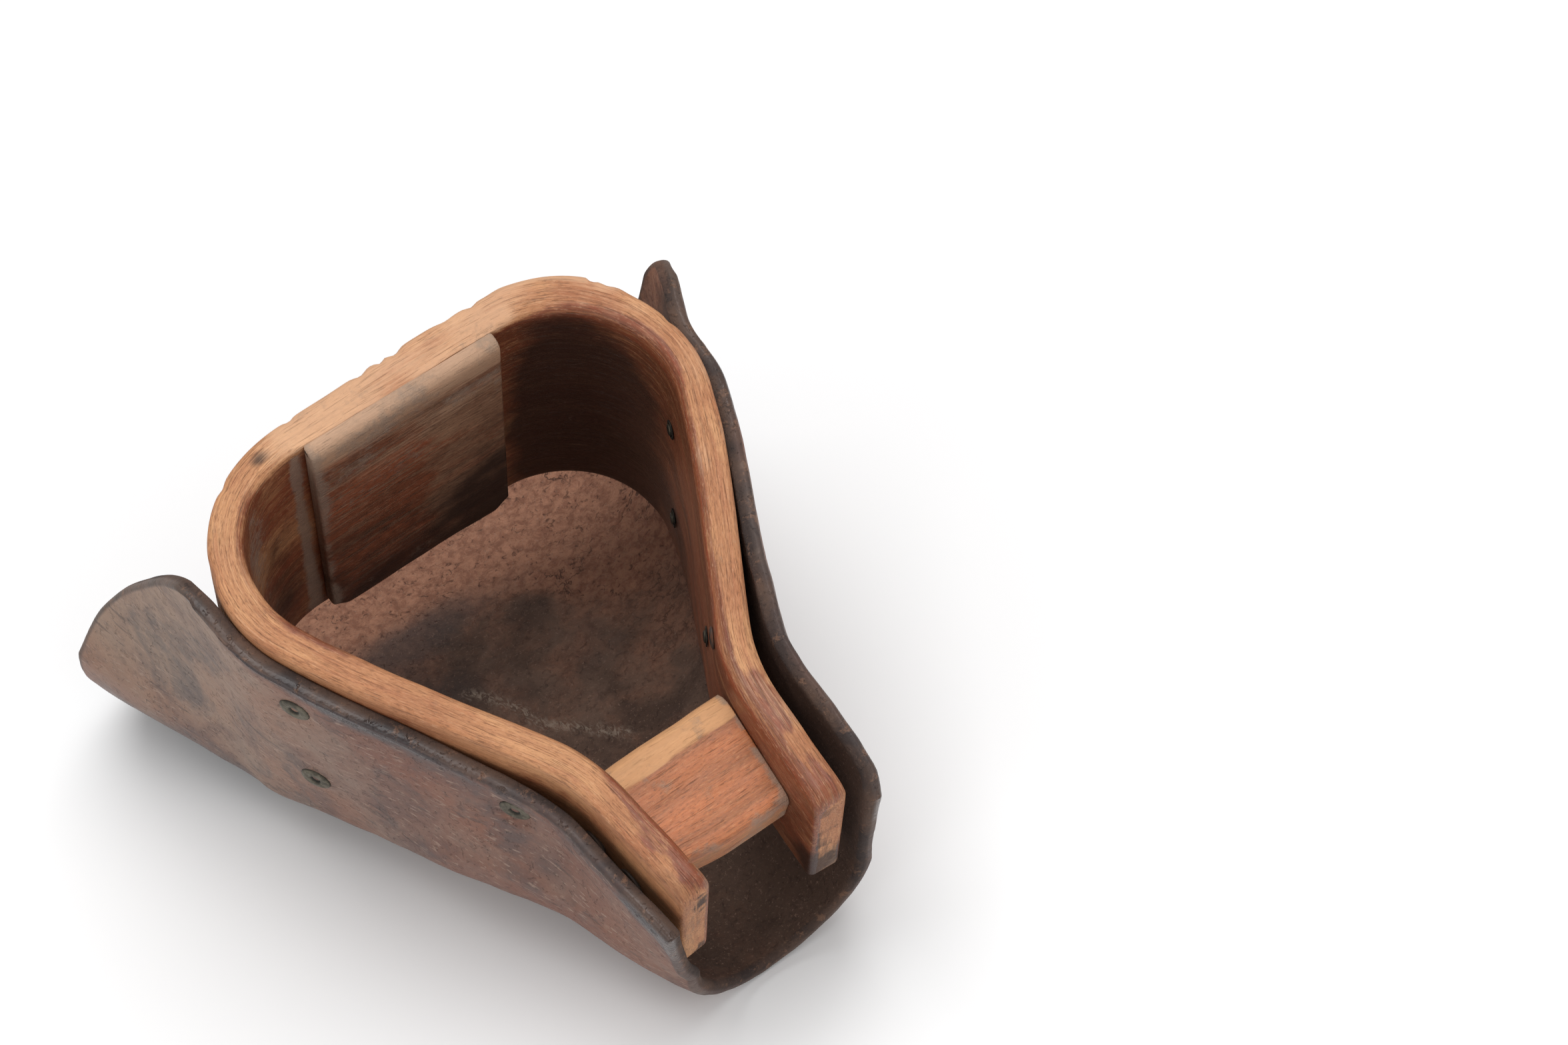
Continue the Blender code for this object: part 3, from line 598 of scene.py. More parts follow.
def make_bow():
    s, inset = stations_with_ends(-LINE_END, LINE_END, 1.25 * MM, 1.6 * MM, STRIP / 2 - 0.4 * MM)
    x, y, nx, ny = line_at(s)
    at_tread = 1 - smooth(TREAD_HALF, TREAD_HALF + 30 * MM, np.abs(s))
    on_right = rise(-20, 20, s)
    depth = strip_depth(y)
    left_ear = smooth(-LINE_END + 30 * MM, -LINE_END, s)
    depth = depth - LEFT_EAR_SHALLOWER * left_ear
    wander = fractal(np.stack([s, 0 * s, 0 * s], -1), 25, 3, 2)
    rear_outer = 2.2 * MM + 0.9 * MM * at_tread + 0.5 * MM * wander
    at_block = smooth(BLOCK_HALF + 6 * MM, BLOCK_HALF - 1 * MM, np.abs(s))
    rear_inner = 2.8 * MM + 1.2 * MM * on_right * (1 - at_tread) + 0.6 * MM * wander
    rear_inner = rear_inner * (1 - at_block) + 0.15 * MM * at_block
    front = 2.2 * MM + 0 * s
    through, z = bar_section(STRIP, depth, (rear_outer, rear_inner, front, front), inset)
    s_all = s[:, None] + 0 * through
    grain = np.stack([s_all, through, z], -1)

    near_rear = rise(-9, -1, z)
    outer = rise(3.5, 0.5, through)
    inner = smooth(STRIP - 3 * MM, STRIP - 0.5 * MM, through)
    # unevenness of the outer face, then chips out of its rear arris and one raised splinter
    lift = 0.3 * MM * fractal(grain, (30, 20, 14), 5) * outer * near_rear
    lift += (curve(np.array(TREAD_SWELL) * MM, s)[:, None]) * smooth(STRIP, 2 * MM, through)
    for place, width, deep in CHIPS:
        lift -= deep * MM * bump(s_all, place, width) * outer * near_rear
    splinter = rise(37, 44, s_all) * rise(69, 67.5, s_all)
    splinter += 0.7 * rise(70, 72, s_all) * rise(82, 76, s_all)
    lift += 0.9 * MM * splinter * outer * rise(-7, -4, z)
    sink = 0.35 * MM * fractal(grain, (26, 9, 9), 8) * near_rear * (1 - outer)
    grooves = 0.11 * MM * fractal(grain, (34, 0.9, 30), 11, 2) * rise(-1.5, 0, z)
    dished = 0.45 * MM * at_tread[:, None] * smooth(3 * MM, STRIP, through) * rise(-2, 0, z)

    offset = -through + lift - 0.2 * MM * inner * fractal(grain, (20, 9, 25), 9)
    into_end = np.clip((np.abs(s_all) - LINE_END + EAR_CORNER) / EAR_CORNER, 0, 1)
    rounded = EAR_CORNER * (1 - np.sqrt(1 - 0.98 * into_end ** 2)) * rise(-14, 0, z)
    z_moved = z + np.minimum(sink, 0.1 * MM) + grooves - dished - rounded
    end = smooth(LINE_END - 0.05 * MM, LINE_END, np.abs(s_all))
    along = -0.25 * MM * end * np.abs(fractal(np.stack([z, through, 0 * z], -1), 2.2, 21)) * np.sign(s_all)
    px = x[:, None] + nx[:, None] * offset + ny[:, None] * along
    py = y[:, None] + ny[:, None] * offset
    points = np.stack([px, py, z_moved], -1)

    inner_face = smooth(STRIP - 3.2 * MM, STRIP - 1.2 * MM, through)
    outer_face = rise(2.6, 1.0, through) * rise(-2, -5, z)
    below = rise(-1.0, -3.2, z)
    right_wall = rise(20, 70, s_all)
    left_wall = rise(-20, -70, s_all)
    varnish = inner_face * below * (0.55 + 0.35 * right_wall + 0.15 * left_wall)
    inner_third = smooth(STRIP - 5 * MM, STRIP - 1.5 * MM, through) * rise(-4, -1, z)
    off_tread = 1 - 0.8 * at_tread[:, None]
    varnish = varnish + 0.45 * outer_face + (0.36 + 0.34 * right_wall) * inner_third * off_tread
    ear = smooth(LINE_END - 62 * MM, LINE_END - 25 * MM, np.abs(s_all))
    rear_face = rise(-2.5, -0.5, z)
    varnish += rear_face * ear * (0.34 + 0.14 * right_wall + 0.5 * fractal(grain, (14, 4, 4), 32))
    varnish += 0.3 * rear_face * bump(s_all, -95, 45) * smooth(0, STRIP, through)
    varnish += 0.3 * fractal(grain, (50, 20, 20), 31)
    # real stains and soot on the inner face; their growth deeper into the stirrup, strongest on the right
    # wall and in its corner, is painted shade
    stain_and_shade = inner_face * below * (
        0.75 * bump(s_all, 72, 30) * rise(-2, -40, z)
        + 0.45 * bump(s_all, 60, 24)
        + 0.42 * bump(s_all, -52, 16) * rise(-10, -50, z)
        + 0.25 * bump(s_all, -75, 25) * rise(-20, -80, z)
        + (0.2 + 0.25 * rise(-10, -60, z)) * right_wall)
    stain_and_shade += (0.165 * hump(s_all, -LINE_END, 12 * MM)
              + 0.55 * hump(s_all, LINE_END, 9 * MM) * rise(-25, -40, z))
    stain_and_shade += 0.2 * fractal(grain, (60, 12, 16), 33)
    stain_and_shade += 0.9 * bump(s_all, -46, 5) * bump(through, 5, 2.5) * rise(-1, 0, z)
    stain_and_shade += 0.5 * end * smooth(0.1, 0.5, fractal(np.stack([s_all, through, z], -1), 7, 39))
    for place in (-6, 1, 6):
        stain_and_shade += 0.7 * bump(s_all, place, 2) * outer * near_rear
    bare_and_lit = 0.65 * rise(-3, -1, z) * (0.35 + 0.65 * at_tread[:, None]) + 0.25 * fractal(grain, 16, 35)
    bare_and_lit += 0.4 * splinter * outer
    block_end = hump(s_all, -(BLOCK_HALF + 4 * MM), 3.2 * MM) * inner_face * below
    dust = 0.85 * block_end + 0.4 * bump(s_all, -66, 14) * inner_face * below
    dust += 0.25 * fractal(grain, 12, 37) + 0.2 * at_tread[:, None] * rise(-2, 0, z)
    dust += 0.35 * hump(s_all, -LINE_END, 25 * MM) * inner_face
    dust += 0.3 * smooth(STRIP - 1 * MM, STRIP - 4 * MM, through) * end
    bow = add_bar("bow_strip", points, grain, (varnish, stain_and_shade, bare_and_lit, dust), BOW_WOOD)
    finish_piece(bow, "bow_wood", "bow")


# ---- tread block

def make_block():
    s, inset = stations_with_ends(-BLOCK_HALF, BLOCK_HALF, 0.9 * MM, 0.9 * MM, BLOCK / 2 - 0.3 * MM)
    depth = TREAD_DEPTH - 1 * MM
    wander = fractal(np.stack([s, 0 * s, 0 * s], -1), 14, 43, 2)
    rear_inner = 3.9 * MM + 0.5 * MM * wander
    front_inner = 2.0 * MM + 0.4 * MM * wander
    radii = (0.1 * MM + 0 * s, rear_inner, front_inner, 0.4 * MM + 0 * s)
    through, z = bar_section(BLOCK, depth, radii, inset)
    s_all = s[:, None] + 0 * through
    grain = np.stack([s_all, through + 20 * MM, z], -1)
    inner = smooth(1.5 * MM, BLOCK, through)
    # the face is hollowed by the boot, and each front corner is nibbled away
    hollow = 0.5 * MM * bump(s_all, 2, 20) * rise(0, -25, z) * inner
    hollow += 0.12 * MM * fractal(grain, (25, 9, 7), 45) * inner
    corner = rise(6, 0, np.abs(np.abs(s_all) - BLOCK_HALF)) * smooth(-depth + 7 * MM, -depth, z)
    z_moved = z - 0.45 * MM + 4 * MM * corner - 0.12 * MM * rise(-2, 0, z) * (1 + wander[:, None])
    seat = GAP * rise(0, 1, through) - 0.05 * MM
    points = np.stack([s_all, -STRIP - seat - through + hollow, z_moved], -1)

    # The block is painted darker towards its bottom as shade, and lighter towards its top as light; its
    # very top is also rubbed bare.
    far_down = rise(-20, -85, z)
    left = rise(14, -8, s_all)
    varnish = inner * (0.62 * left * rise(-6, -14, z) + 0.30) + 0.22 * fractal(grain, (16, 9, 5), 47)
    stain_and_shade = 0.55 * far_down + 0.3 * rise(4, 30, s_all) * far_down + 0.14 * fractal(grain, (16, 9, 8), 49)
    bare_and_lit = 0.6 * rise(-12, -2, z) + 0.42 * rise(-60, -10, z) + 0.2 * fractal(grain, (14, 9, 4), 51)
    dust = 0.55 * smooth(-BLOCK_HALF + 5 * MM, -BLOCK_HALF, s_all) + 0.12
    dust += 0.3 * fractal(grain, (18, 9, 7), 53)
    dust += 0.22 * rise(-60, -15, z)
    block = add_bar("tread_board", points, grain, (varnish, stain_and_shade, bare_and_lit, dust), BLOCK_WOOD)
    finish_piece(block, "tread_wood", "tread_block")


# ---- transom

TRANSOM_FAR, TRANSOM_NEAR = -135.5 * MM, -173 * MM
TRANSOM_THICKNESS, TRANSOM_DEPTH = 15.5 * MM, -21.8 * MM
TRANSOM_TILT = math.radians(7.5)


def make_transom():
    """Its stations run across the stirrup, its section lies in the tilted plane of the board."""
    half = LINE_X[-1] - STRIP / math.cos(EAR_LEAN) - GAP
    s, inset = stations_with_ends(-1, 1, 1 / 28, 0.02, 0.02)
    inset = np.where(inset > 0, inset / 0.02 * 0.5 * MM, 0)
    width = TRANSOM_FAR - TRANSOM_NEAR
    wander = fractal(np.stack([s * 20 * MM, 0 * s, 0 * s], -1), 12, 61, 2)
    far_top = 6.5 * MM + 1.0 * MM * wander
    radii = (far_top, 2.0 * MM + 0 * s, 2.2 * MM + 0 * s, 3.0 * MM + 0 * s)
    through, down = bar_section(TRANSOM_THICKNESS, width, radii, inset)
    up = TRANSOM_THICKNESS / 2 - through
    along = width / 2 + down
    middle = (TRANSOM_FAR + TRANSOM_NEAR) / 2
    s_all = s[:, None] + 0 * through
    reach = half + (middle + along - LINE_Y[-1]) * math.tan(EAR_LEAN)
    px = s_all * reach
    grain = np.stack([px, through + 40 * MM, down + 7 * MM], -1)
    rough = 0.18 * MM * fractal(grain, (18, 6, 5), 63) * smooth(1.02, 0.9, np.abs(s_all))
    up = up + rough * smooth(TRANSOM_THICKNESS / 2, 0, through)
    along = along + 0.3 * MM * fractal(grain, (25, 8, 8), 65) * rise(-3, 0, down) - 0.1 * MM
    skew = 1.6 * MM * smooth(0, -1, s_all) * smooth(-width / 2, -width, down)
    along = along + skew
    py = middle + along * math.cos(TRANSOM_TILT) - up * math.sin(TRANSOM_TILT)
    pz = TRANSOM_DEPTH + along * math.sin(TRANSOM_TILT) + up * math.cos(TRANSOM_TILT)
    points = np.stack([px, py, pz], -1)

    top = rise(4, 1, through)
    far = rise(-10.5, -8, down)
    varnish = 0.85 * top * (1 - far) + 0.35 * (1 - top) + 0.18 * fractal(grain, (20, 8, 8), 67)
    bare_and_lit = 0.85 * far * rise(10, 6, through) + 0.2 * fractal(grain, 9, 69)
    ends = smooth(0.8, 1.0, np.abs(s_all))
    dust = 0.75 * ends * smooth(-0.2, 0.5, fractal(grain, 5, 71) + 0.5)
    dust += 0.35 * smooth(-width + 6 * MM, -width, down)
    dust += 0.12 + 0.32 * fractal(grain, 8, 72)
    # painted shade: the board darkens towards its lower face
    stain_and_shade = 0.3 * smooth(6 * MM, TRANSOM_THICKNESS, through) + 0.22 * fractal(grain, (25, 8, 3), 73)
    # its section is turned round so that the faces look outwards
    paints = [values[:, ::-1] for values in (varnish, stain_and_shade, bare_and_lit, dust)]
    board = add_bar("transom_board", points[:, ::-1], grain[:, ::-1], paints, TRANSOM_WOOD)
    finish_piece(board, "transom_wood", "transom")


# ---- hood

HOOD_NEAR = -190 * MM
FOLD_SLOPE = math.tan(math.radians(18))
FOLD_NEAR_DEPTH = -81 * MM
WING_START = -48 * MM
TOE_DEPTH = 155 * MM

# Each side of the hood along the stirrup, in mm: (y, value). edge is the height of the rear edge, gap the
# space there between leather and bow, low_in and low_out move the side in or out at the bottom corner,
# power is the corner's superellipse power, spread and curl open the wing, and toe is where the leather
# ends: (square root of the share of its depth, y).
LEFT = dict(
    side=-1,
    edge=((-190, -11), (-180, -10), (-165, -10), (-120, -9), (-80, -6), (-48, -5), (35, -5)),
    gap=((-190, 2.6), (-165, 3.4), (-140, 3.2), (-115, 1.2), (-95, 0.4), (-48, 0.4), (35, 0.4)),
    low_in=((-190, 6.2), (-183, 3.6), (-171, -0.2), (-153, -4.0), (-135, -7.2), (-115, -5.6), (-95, -0.8),
            (-77, 3.4), (-63, 4.8), (-44, 2.0), (-22, 0.6), (35, 0)),
    power=((-190, 1.9), (-150, 2.1), (-100, 2.2), (-62, 2.1), (-43, 2.5), (-20, 2.9), (35, 3.0)),
    spread=((-48, 0), (0, 2.5), (35, 4)),
    low_out=((-48, 0), (-25, 4.0), (0, 11), (17, 15.5), (34, 18)),
    curl=((-60, 0), (-30, 0.5), (0, 1.5), (35, 2)), curl_deep=26, curl_power=2, loose_deep=34,
    toe=((0, -35), (0.27, -20), (0.49, -2.5), (0.63, 11), (0.73, 18.5), (0.82, 21.5), (0.9, 24.5), (1, 33)),
)
RIGHT = dict(
    side=1,
    edge=((-190, -10), (-184, -5), (-172, -3), (-150, -3), (-100, -3), (-60, -4), (35, -5)),
    gap=((-190, 5.6), (-182, 7.6), (-168, 7.8), (-149, 7.2), (-134, 5.6), (-123, 4.2), (-112, 2.6),
         (-99, 1.6), (-70, 0.7), (-52, 0.3), (35, 0.3)),
    low_in=((-190, -2.2), (-150, -2.2), (-120, 0), (35, 0)),
    power=((-190, 2.1), (-150, 2.1), (-100, 2.4), (-62, 2.3), (-48, 2.6), (35, 3.0)),
    spread=((-60, -0.6), (-44, -1.8), (-30, 0.4), (0, 3.0), (35, 5)),
    low_out=((-48, 0), (-10, 5), (34, 14)),
    curl=((-60, 0), (-38, 0.8), (-22, 5.2), (-12, 7.8), (5, 7.5), (35, 3)), curl_deep=62, curl_power=1,
    loose_deep=90,
    toe=((0, -24), (0.14, -19), (0.245, -14), (0.316, -11), (0.374, -9.5), (0.447, -9.5), (0.516, -9),
         (0.632, -4), (0.796, 10), (1, 34)),
)
ACROSS_HALF, ALONG = 110, 120
SECTION_POINTS = 240


def side_value(side, key, y):
    return curve(np.array(side[key]) * MM, y)


def fold_depth(y):
    return FOLD_NEAR_DEPTH - (y - HOOD_NEAR) * FOLD_SLOPE


def half_section(side, y):
    """The middle of the leather from the flap's rear edge to the fold, at height y: x and z arrays."""
    beside = y < WING_START
    base = side_x(min(y, WING_START)) + LEATHER / 2 * (side_slant(min(y, WING_START)) if beside else 1.0)
    base = max(base, 0) if beside else LINE_X.max() + LEATHER / 2
    edge_z = side_value(side, "edge", y)
    gap = side_value(side, "gap", y)
    power = curve([(a * MM, b) for a, b in side["power"]], y)
    bottom = fold_depth(y) - LEATHER / 2
    start = -strip_depth(y) - 2 * MM
    spread = side_value(side, "spread", y)
    low_out = side_value(side, "low_out", y)
    curl = side_value(side, "curl", y)
    low_in = side_value(side, "low_in", y)

    down = np.linspace(0, 1, SECTION_POINTS // 2)
    z_side = edge_z + down * (start - edge_z)
    loose = smooth(-side["loose_deep"] * MM, edge_z, z_side)
    x_side = base + GAP + (gap - GAP) * (0.25 + 0.75 * loose) * (1 if beside else loose) + spread
    curled = smooth(-side["curl_deep"] * MM, edge_z, z_side) ** side["curl_power"]
    x_side = x_side + low_out * down ** 2 + curl * curled - low_in * down ** 3
    angle = np.linspace(0, math.pi / 2, SECTION_POINTS // 2)[1:]
    x_turn = x_side[-1] * np.cos(angle).clip(0) ** (2 / power)
    z_turn = start + (bottom - start) * np.sin(angle) ** (2 / power)
    return np.append(x_side, x_turn), np.append(z_side, z_turn)


# Distances from the leather's edge, where it is rounded
RIM_PLACES = np.array([0, 0.12, 0.45, 0.95, 1.6, 2.4, 3.4]) * MM


def even_places(length, count):
    """Distances from 0 to length: those of the rim first, then even ones."""
    rest = RIM_PLACES[-1] + (length - RIM_PLACES[-1]) * np.linspace(0, 1, count - len(RIM_PLACES) + 1)[1:]
    return np.append(RIM_PLACES, rest)


def toe_height(side, depth):
    """Height at which the leather ends, by depth below the rear edge, which it leaves squarely."""
    share = np.clip((depth - 5 * MM) / (TOE_DEPTH - 5 * MM), 0, 1)
    return MM * curve(side["toe"], np.sqrt(share))


def side_surface(side):
    """A function from (share down the section, height) to a point, by tables at even heights."""
    heights = np.linspace(HOOD_NEAR, 40 * MM, 180)
    table = []
    for y in heights:
        x, z = half_section(side, y)
        length = np.append(0, np.cumsum(np.hypot(np.diff(x), np.diff(z))))
        table.append(np.stack([length, x, z]))
    return heights, np.array(table)


def read_surface(heights, table, down, y):
    """Points at distances down (metres, counted from the rear edge) and heights y, which match in shape."""
    row = np.clip((y - heights[0]) / (heights[1] - heights[0]), 0, len(heights) - 1.001)
    low = np.floor(row).astype(int)
    share = row - low
    out = []
    for axis in (1, 2):
        values = []
        for index in (low, low + 1):
            flat = [np.interp(d, table[i, 0], table[i, axis]) for d, i in zip(down.ravel(), index.ravel())]
            values.append(np.array(flat).reshape(down.shape))
        out.append(values[0] * (1 - share) + values[1] * share)
    return out


def hood_grid():
    """Points of the middle of the leather: [across, along, 3], and how far each lies from the edges."""
    halves = []
    for side in (LEFT, RIGHT):
        heights, table = side_surface(side)
        lengths = table[:, 0, -1]
        near_share = even_places(lengths[0], ACROSS_HALF) / lengths[0]
        y_end = np.full(ACROSS_HALF, 0.0)
        for _ in range(14):
            total = np.interp(y_end, heights, lengths)
            down = near_share * total
            _, z = read_surface(heights, table, down, y_end)
            y_end = 0.5 * y_end + 0.5 * toe_height(side, -z)
        ys = []
        for end in y_end:
            length = end - HOOD_NEAR
            first = even_places(length / 2, ALONG // 2)
            ys.append(HOOD_NEAR + np.append(first, length - first[-2::-1]))
        ys = np.array(ys)
        total = np.interp(ys, heights, lengths)
        rounded = len(RIM_PLACES)
        down = np.empty_like(ys)
        down[:rounded] = RIM_PLACES[:, None]
        rest = np.linspace(0, 1, ACROSS_HALF - rounded + 1)[1:]
        down[rounded:] = RIM_PLACES[-1] + rest[:, None] * (total[rounded:] - RIM_PLACES[-1])
        x, z = read_surface(heights, table, down, ys)
        halves.append(np.stack([side["side"] * x, ys, z], -1))
    left, right = halves
    middle = (left[-1:] + right[-1:]) / 2
    middle[..., 0] = 0
    return np.concatenate([left[:-1], middle, right[-2::-1]])


def normals_of(grid):
    """Unit normals of the sheet, pointing out of the hood."""
    across = np.gradient(grid, axis=0)
    along = np.gradient(grid, axis=1)
    normal = np.cross(along, across)
    normal /= np.linalg.norm(normal, axis=-1, keepdims=True) + 1e-12
    return normal


def edge_distance(grid):
    """Distance of each point to the sheet's border, in metres, measured along the grid lines."""
    step_a = np.linalg.norm(np.diff(grid, axis=0), axis=-1)
    step_b = np.linalg.norm(np.diff(grid, axis=1), axis=-1)
    zero_a = np.zeros((1, grid.shape[1]))
    zero_b = np.zeros((grid.shape[0], 1))
    left = np.concatenate([zero_a, np.cumsum(step_a, axis=0)])
    near = np.concatenate([zero_b, np.cumsum(step_b, axis=1)], axis=1)
    flap = np.minimum(left, left[-1:] - left)
    toe = near[:, -1:] - near
    return flap, near, toe


def corners_of(node):
    """The CAD piece's vertices in the stirrup's own directions, and the middle of their box."""
    co = np.array([TO_STIRRUP @ v.co for v in frame["nodes"][node].data.vertices])
    return co, (co.min(0) + co.max(0)) / 2


def rivet_places():
    """Centre on the bow's outer face and outward direction of each hood rivet, in the stirrup's frame."""
    places = {}
    for node in frame["nodes"]:
        if node.startswith("hood_rivet_"):
            middle = corners_of(node)[1]
            burr_middle = corners_of(node.replace("rivet", "burr"))[1]
            axis = Vector(middle - burr_middle).normalized()
            places[node] = (Vector(burr_middle) + axis * (STRIP + 2 * GAP + BURR_MIDDLE), axis)
    return places


RIVETS = rivet_places()


def make_hood():
    grid = hood_grid()
    normal = normals_of(grid)
    flap, near, toe = edge_distance(grid)
    # waves of the whole sheet, stronger where nothing holds it
    free = smooth(WING_START, -10 * MM, grid[..., 1])
    wave = fractal(grid, (60, 70, 60), 81, 2)
    fold_side = rise(-95, -70, grid[..., 2])
    grid = grid + normal * ((0.3 + 0.9 * free) * MM * wave * (1 - 0.6 * fold_side))[..., None]
    normal = normals_of(grid)

    border = np.minimum(np.minimum(flap, near), toe)
    border = np.minimum(border, 50 * MM)
    rounding = 2.0 * MM
    full = np.clip(border / rounding, 0, 1)
    half = LEATHER / 2 * (0.30 + 0.70 * np.sqrt(1 - (1 - full) ** 2))
    ragged = 0.25 * MM * fractal(grid, 6, 83) * rise(3, 0, border)

    ridge_fade = rise(12, -30, grid[..., 1])
    ridge = 0.55 * MM * bump(flap, 4.4, 1.6) - 0.25 * MM * bump(flap, 8.5, 2.2)
    outer_lift = ridge * ridge_fade * rise(0, 12, near)
    outer_lift += 0.10 * MM * fractal(grid, 7, 85) + 0.22 * MM * fractal(grid, 22, 86)
    inner_lift = 0.22 * MM * fractal(grid, 5, 87) + 0.3 * MM * fractal(grid, 16, 88)
    outer = grid + normal * (half + outer_lift * rise(0, 2, border))[..., None]
    inner = grid - normal * (half + inner_lift * rise(0, 3, border) * 0.6)[..., None]
    outer += normal * ragged[..., None]
    for place, axis in RIVETS.values():
        axis = np.array(axis)
        rel = outer - (np.array(place) + axis * (GAP + LEATHER))
        height = rel @ axis
        away = np.linalg.norm(rel - height[..., None] * axis, axis=-1)
        close = np.abs(height) < 12 * MM
        pull = 0.3 * MM * bump(away, 0, 8) * close
        seat = rise(8.0, 5.0, away) * close
        target = -0.45 * MM
        outer -= axis * (pull * (1 - seat) + seat * (height - target))[..., None]

    rows, columns = grid.shape[:2]
    points = np.concatenate([outer.reshape(-1, 3), inner.reshape(-1, 3)])
    layer = rows * columns
    index = np.arange(layer).reshape(rows, columns)
    a, b, c, d = index[:-1, :-1], index[1:, :-1], index[1:, 1:], index[:-1, 1:]
    faces = np.stack([a, d, c, b], -1).reshape(-1, 4).tolist()
    faces += (np.stack([a, b, c, d], -1).reshape(-1, 4) + layer).tolist()
    rim = np.concatenate([index[0, :], index[1:, -1], index[-1, -2::-1], index[-2:0:-1, 0]])
    after = np.roll(rim, -1)
    faces += np.stack([rim, rim + layer, after + layer, after], -1).tolist()

    points = rest_on_floor(points)
    marks = hood_marks(grid, flap, near, border)
    hood = add_object("leather_hood", points, faces, marks, HOOD_LEATHER)
    finish_piece(hood, "hood_leather", "hood")


FLATTEN_BELOW, LOWEST = 0.7 * MM, 0.1 * MM


def rest_on_floor(points):
    """Flatten the lowest part of the fold where it lies on the floor."""
    turn = np.array(POSE.to_3x3())
    shift = np.array(POSE.translation)
    laid = points @ turn.T + shift
    low = laid[:, 2] < FLATTEN_BELOW
    squash = FLATTEN_BELOW - LOWEST
    laid[low, 2] = LOWEST + squash * np.exp((laid[low, 2] - FLATTEN_BELOW) / squash)
    return (laid - shift) @ turn


# A strand of lint caught inside the hood, the points along it in mm: (x, y)
LINT = ((-9, -50), (-5, -55), (0, -66), (2, -76), (10, -84), (20, -97))


def hood_marks(grid, flap, near, border):
    """Where the leather is red, burnished, dusty or blue, and where shade is painted on it, as values at
    the points of both its sides.
    """
    x, y, z = grid[..., 0], grid[..., 1], grid[..., 2]
    wide = fractal(grid, (70, 45, 45), 91)
    band = rise(17, 6, flap) * rise(20, -35, y) * (0.75 + 0.5 * fractal(grid, 30, 97))
    dark = 0.95 * band
    # painted shade: the outside darkens towards the fold at the bottom
    dark += 0.55 * smooth(-70 * MM, fold_depth(y) - 8 * MM, z) * rise(-185, -60, y)
    dark += 0.5 * rise(7, 0, near) + 0.25 * wide
    dark *= np.where(x > 0, 0.75, 1)
    red = 0.42 + 0.35 * wide + 0.3 * rise(-90, -150, y) - 0.25 * rise(-60, 0, y)
    right = rise(20, 60, x)
    dusty = 0.95 * smooth(-34 * MM - 32 * MM * right, -8 * MM - 12 * MM * right, y) * rise(-40, -80, z)
    dusty += 0.7 * (x > 0) * rise(-34, -18, y) * rise(-80, -40, z)
    dusty += 0.36 * rise(-150, -60, y) * rise(-40, -80, z) + 0.35 * fractal(grid, 25, 93)
    blue = 1.0 * bump(y, -21, 9) * bump(x, -8, 34)
    blue += 0.55 * bump(y, -42, 14) * bump(x, -22, 22) + 0.22 * fractal(grid, 30, 95)
    shade = 0.75 * rise(-95, -165, y) + 0.5 * rise(48, 72, x) * rise(-45, -80, y)
    shade += 0.25 * fractal(grid, 30, 99)
    lint = np.zeros_like(x)
    for (xa, ya), (xb, yb) in zip(LINT, LINT[1:]):
        from_x, from_y, long_x, long_y = x / MM - xa, y / MM - ya, xb - xa, yb - ya
        share = np.clip((from_x * long_x + from_y * long_y) / (long_x ** 2 + long_y ** 2), 0, 1)
        away = np.hypot(from_x - share * long_x, from_y - share * long_y)
        lint = np.maximum(lint, smooth(2.4, 0.6, away) * rise(-60, -90, z))
    worn = rise(-125, 5, y) * rise(-135, -70, z)
    marks = {"edge": border, "dark": dark, "red": red, "dusty": dusty, "blue": blue, "shade": shade,
             "lint": lint, "worn": worn}
    marks = {mark: np.tile(values.ravel(), 2) for mark, values in marks.items()}
    marks["inside"] = np.repeat([0.0, 1.0], x.size)
    return marks


# ---- fasteners

# Profiles in mm, (radius, height): the dimpled head above the leather's face, and the end inside the bow
RIVET_HEAD = ((0, -0.9), (0.8, -0.85), (1.35, -0.4), (1.75, 0), (2.2, 0.2), (3.0, 0.12), (3.7, 0.1),
              (4.2, 0.02), (4.6, -0.2), (4.8, -0.5), (4.7, -0.8), (1.8, -0.9))
RIVET_END = ((1.8, 0), (1.9, -0.15), (1.7, -0.4), (1.2, -0.55), (0, -0.6))
NAIL = ((0, 0.75), (1.2, 0.72), (2.4, 0.55), (3.1, 0.25), (3.4, 0), (3.2, -0.25), (1.4, -0.3), (1.3, -5),
        (0.9, -6.5), (0, -7.6))


def make_hood_rivets():
    for number, (node, (place, axis)) in enumerate(sorted(RIVETS.items())):
        face = GAP + LEATHER + 0.1 * MM
        inside = -STRIP - 0.6 * MM
        profile = in_metres(RIVET_HEAD, face) + in_metres(RIVET_END, inside)
        name = node.replace("hood_rivet", "rivet")
        rivet = turned(name, profile, place, axis, RIVET_METAL, seed=200 + number)
        finish_piece(rivet, "rivet_brass", node)


def make_washers():
    """Burrs of both kinds: a hammered ring each, at its CAD node's place."""
    burrs = sorted(n for n in frame["nodes"] if "burr" in n)
    for number, node in enumerate(burrs):
        centre = corners_of(node)[1]
        if node.startswith("hood_burr"):
            axis = RIVETS[node.replace("burr", "rivet")][1]
            centre = centre + np.array(axis) * 0.75 * MM
            size, metal_used, slot = (2.2 * MM, 3.1 * MM, 0.25 * MM), DARK_METAL, "rivet_brass"
        else:
            axis = Vector((1, 0, 0))
            size, metal_used, slot = (2.7 * MM, 5.4 * MM, 0.45 * MM), IRON, "iron"
        ring = washer(node.replace("burr", "washer"), *size, centre, axis, metal_used, 300 + number)
        finish_piece(ring, slot, node)


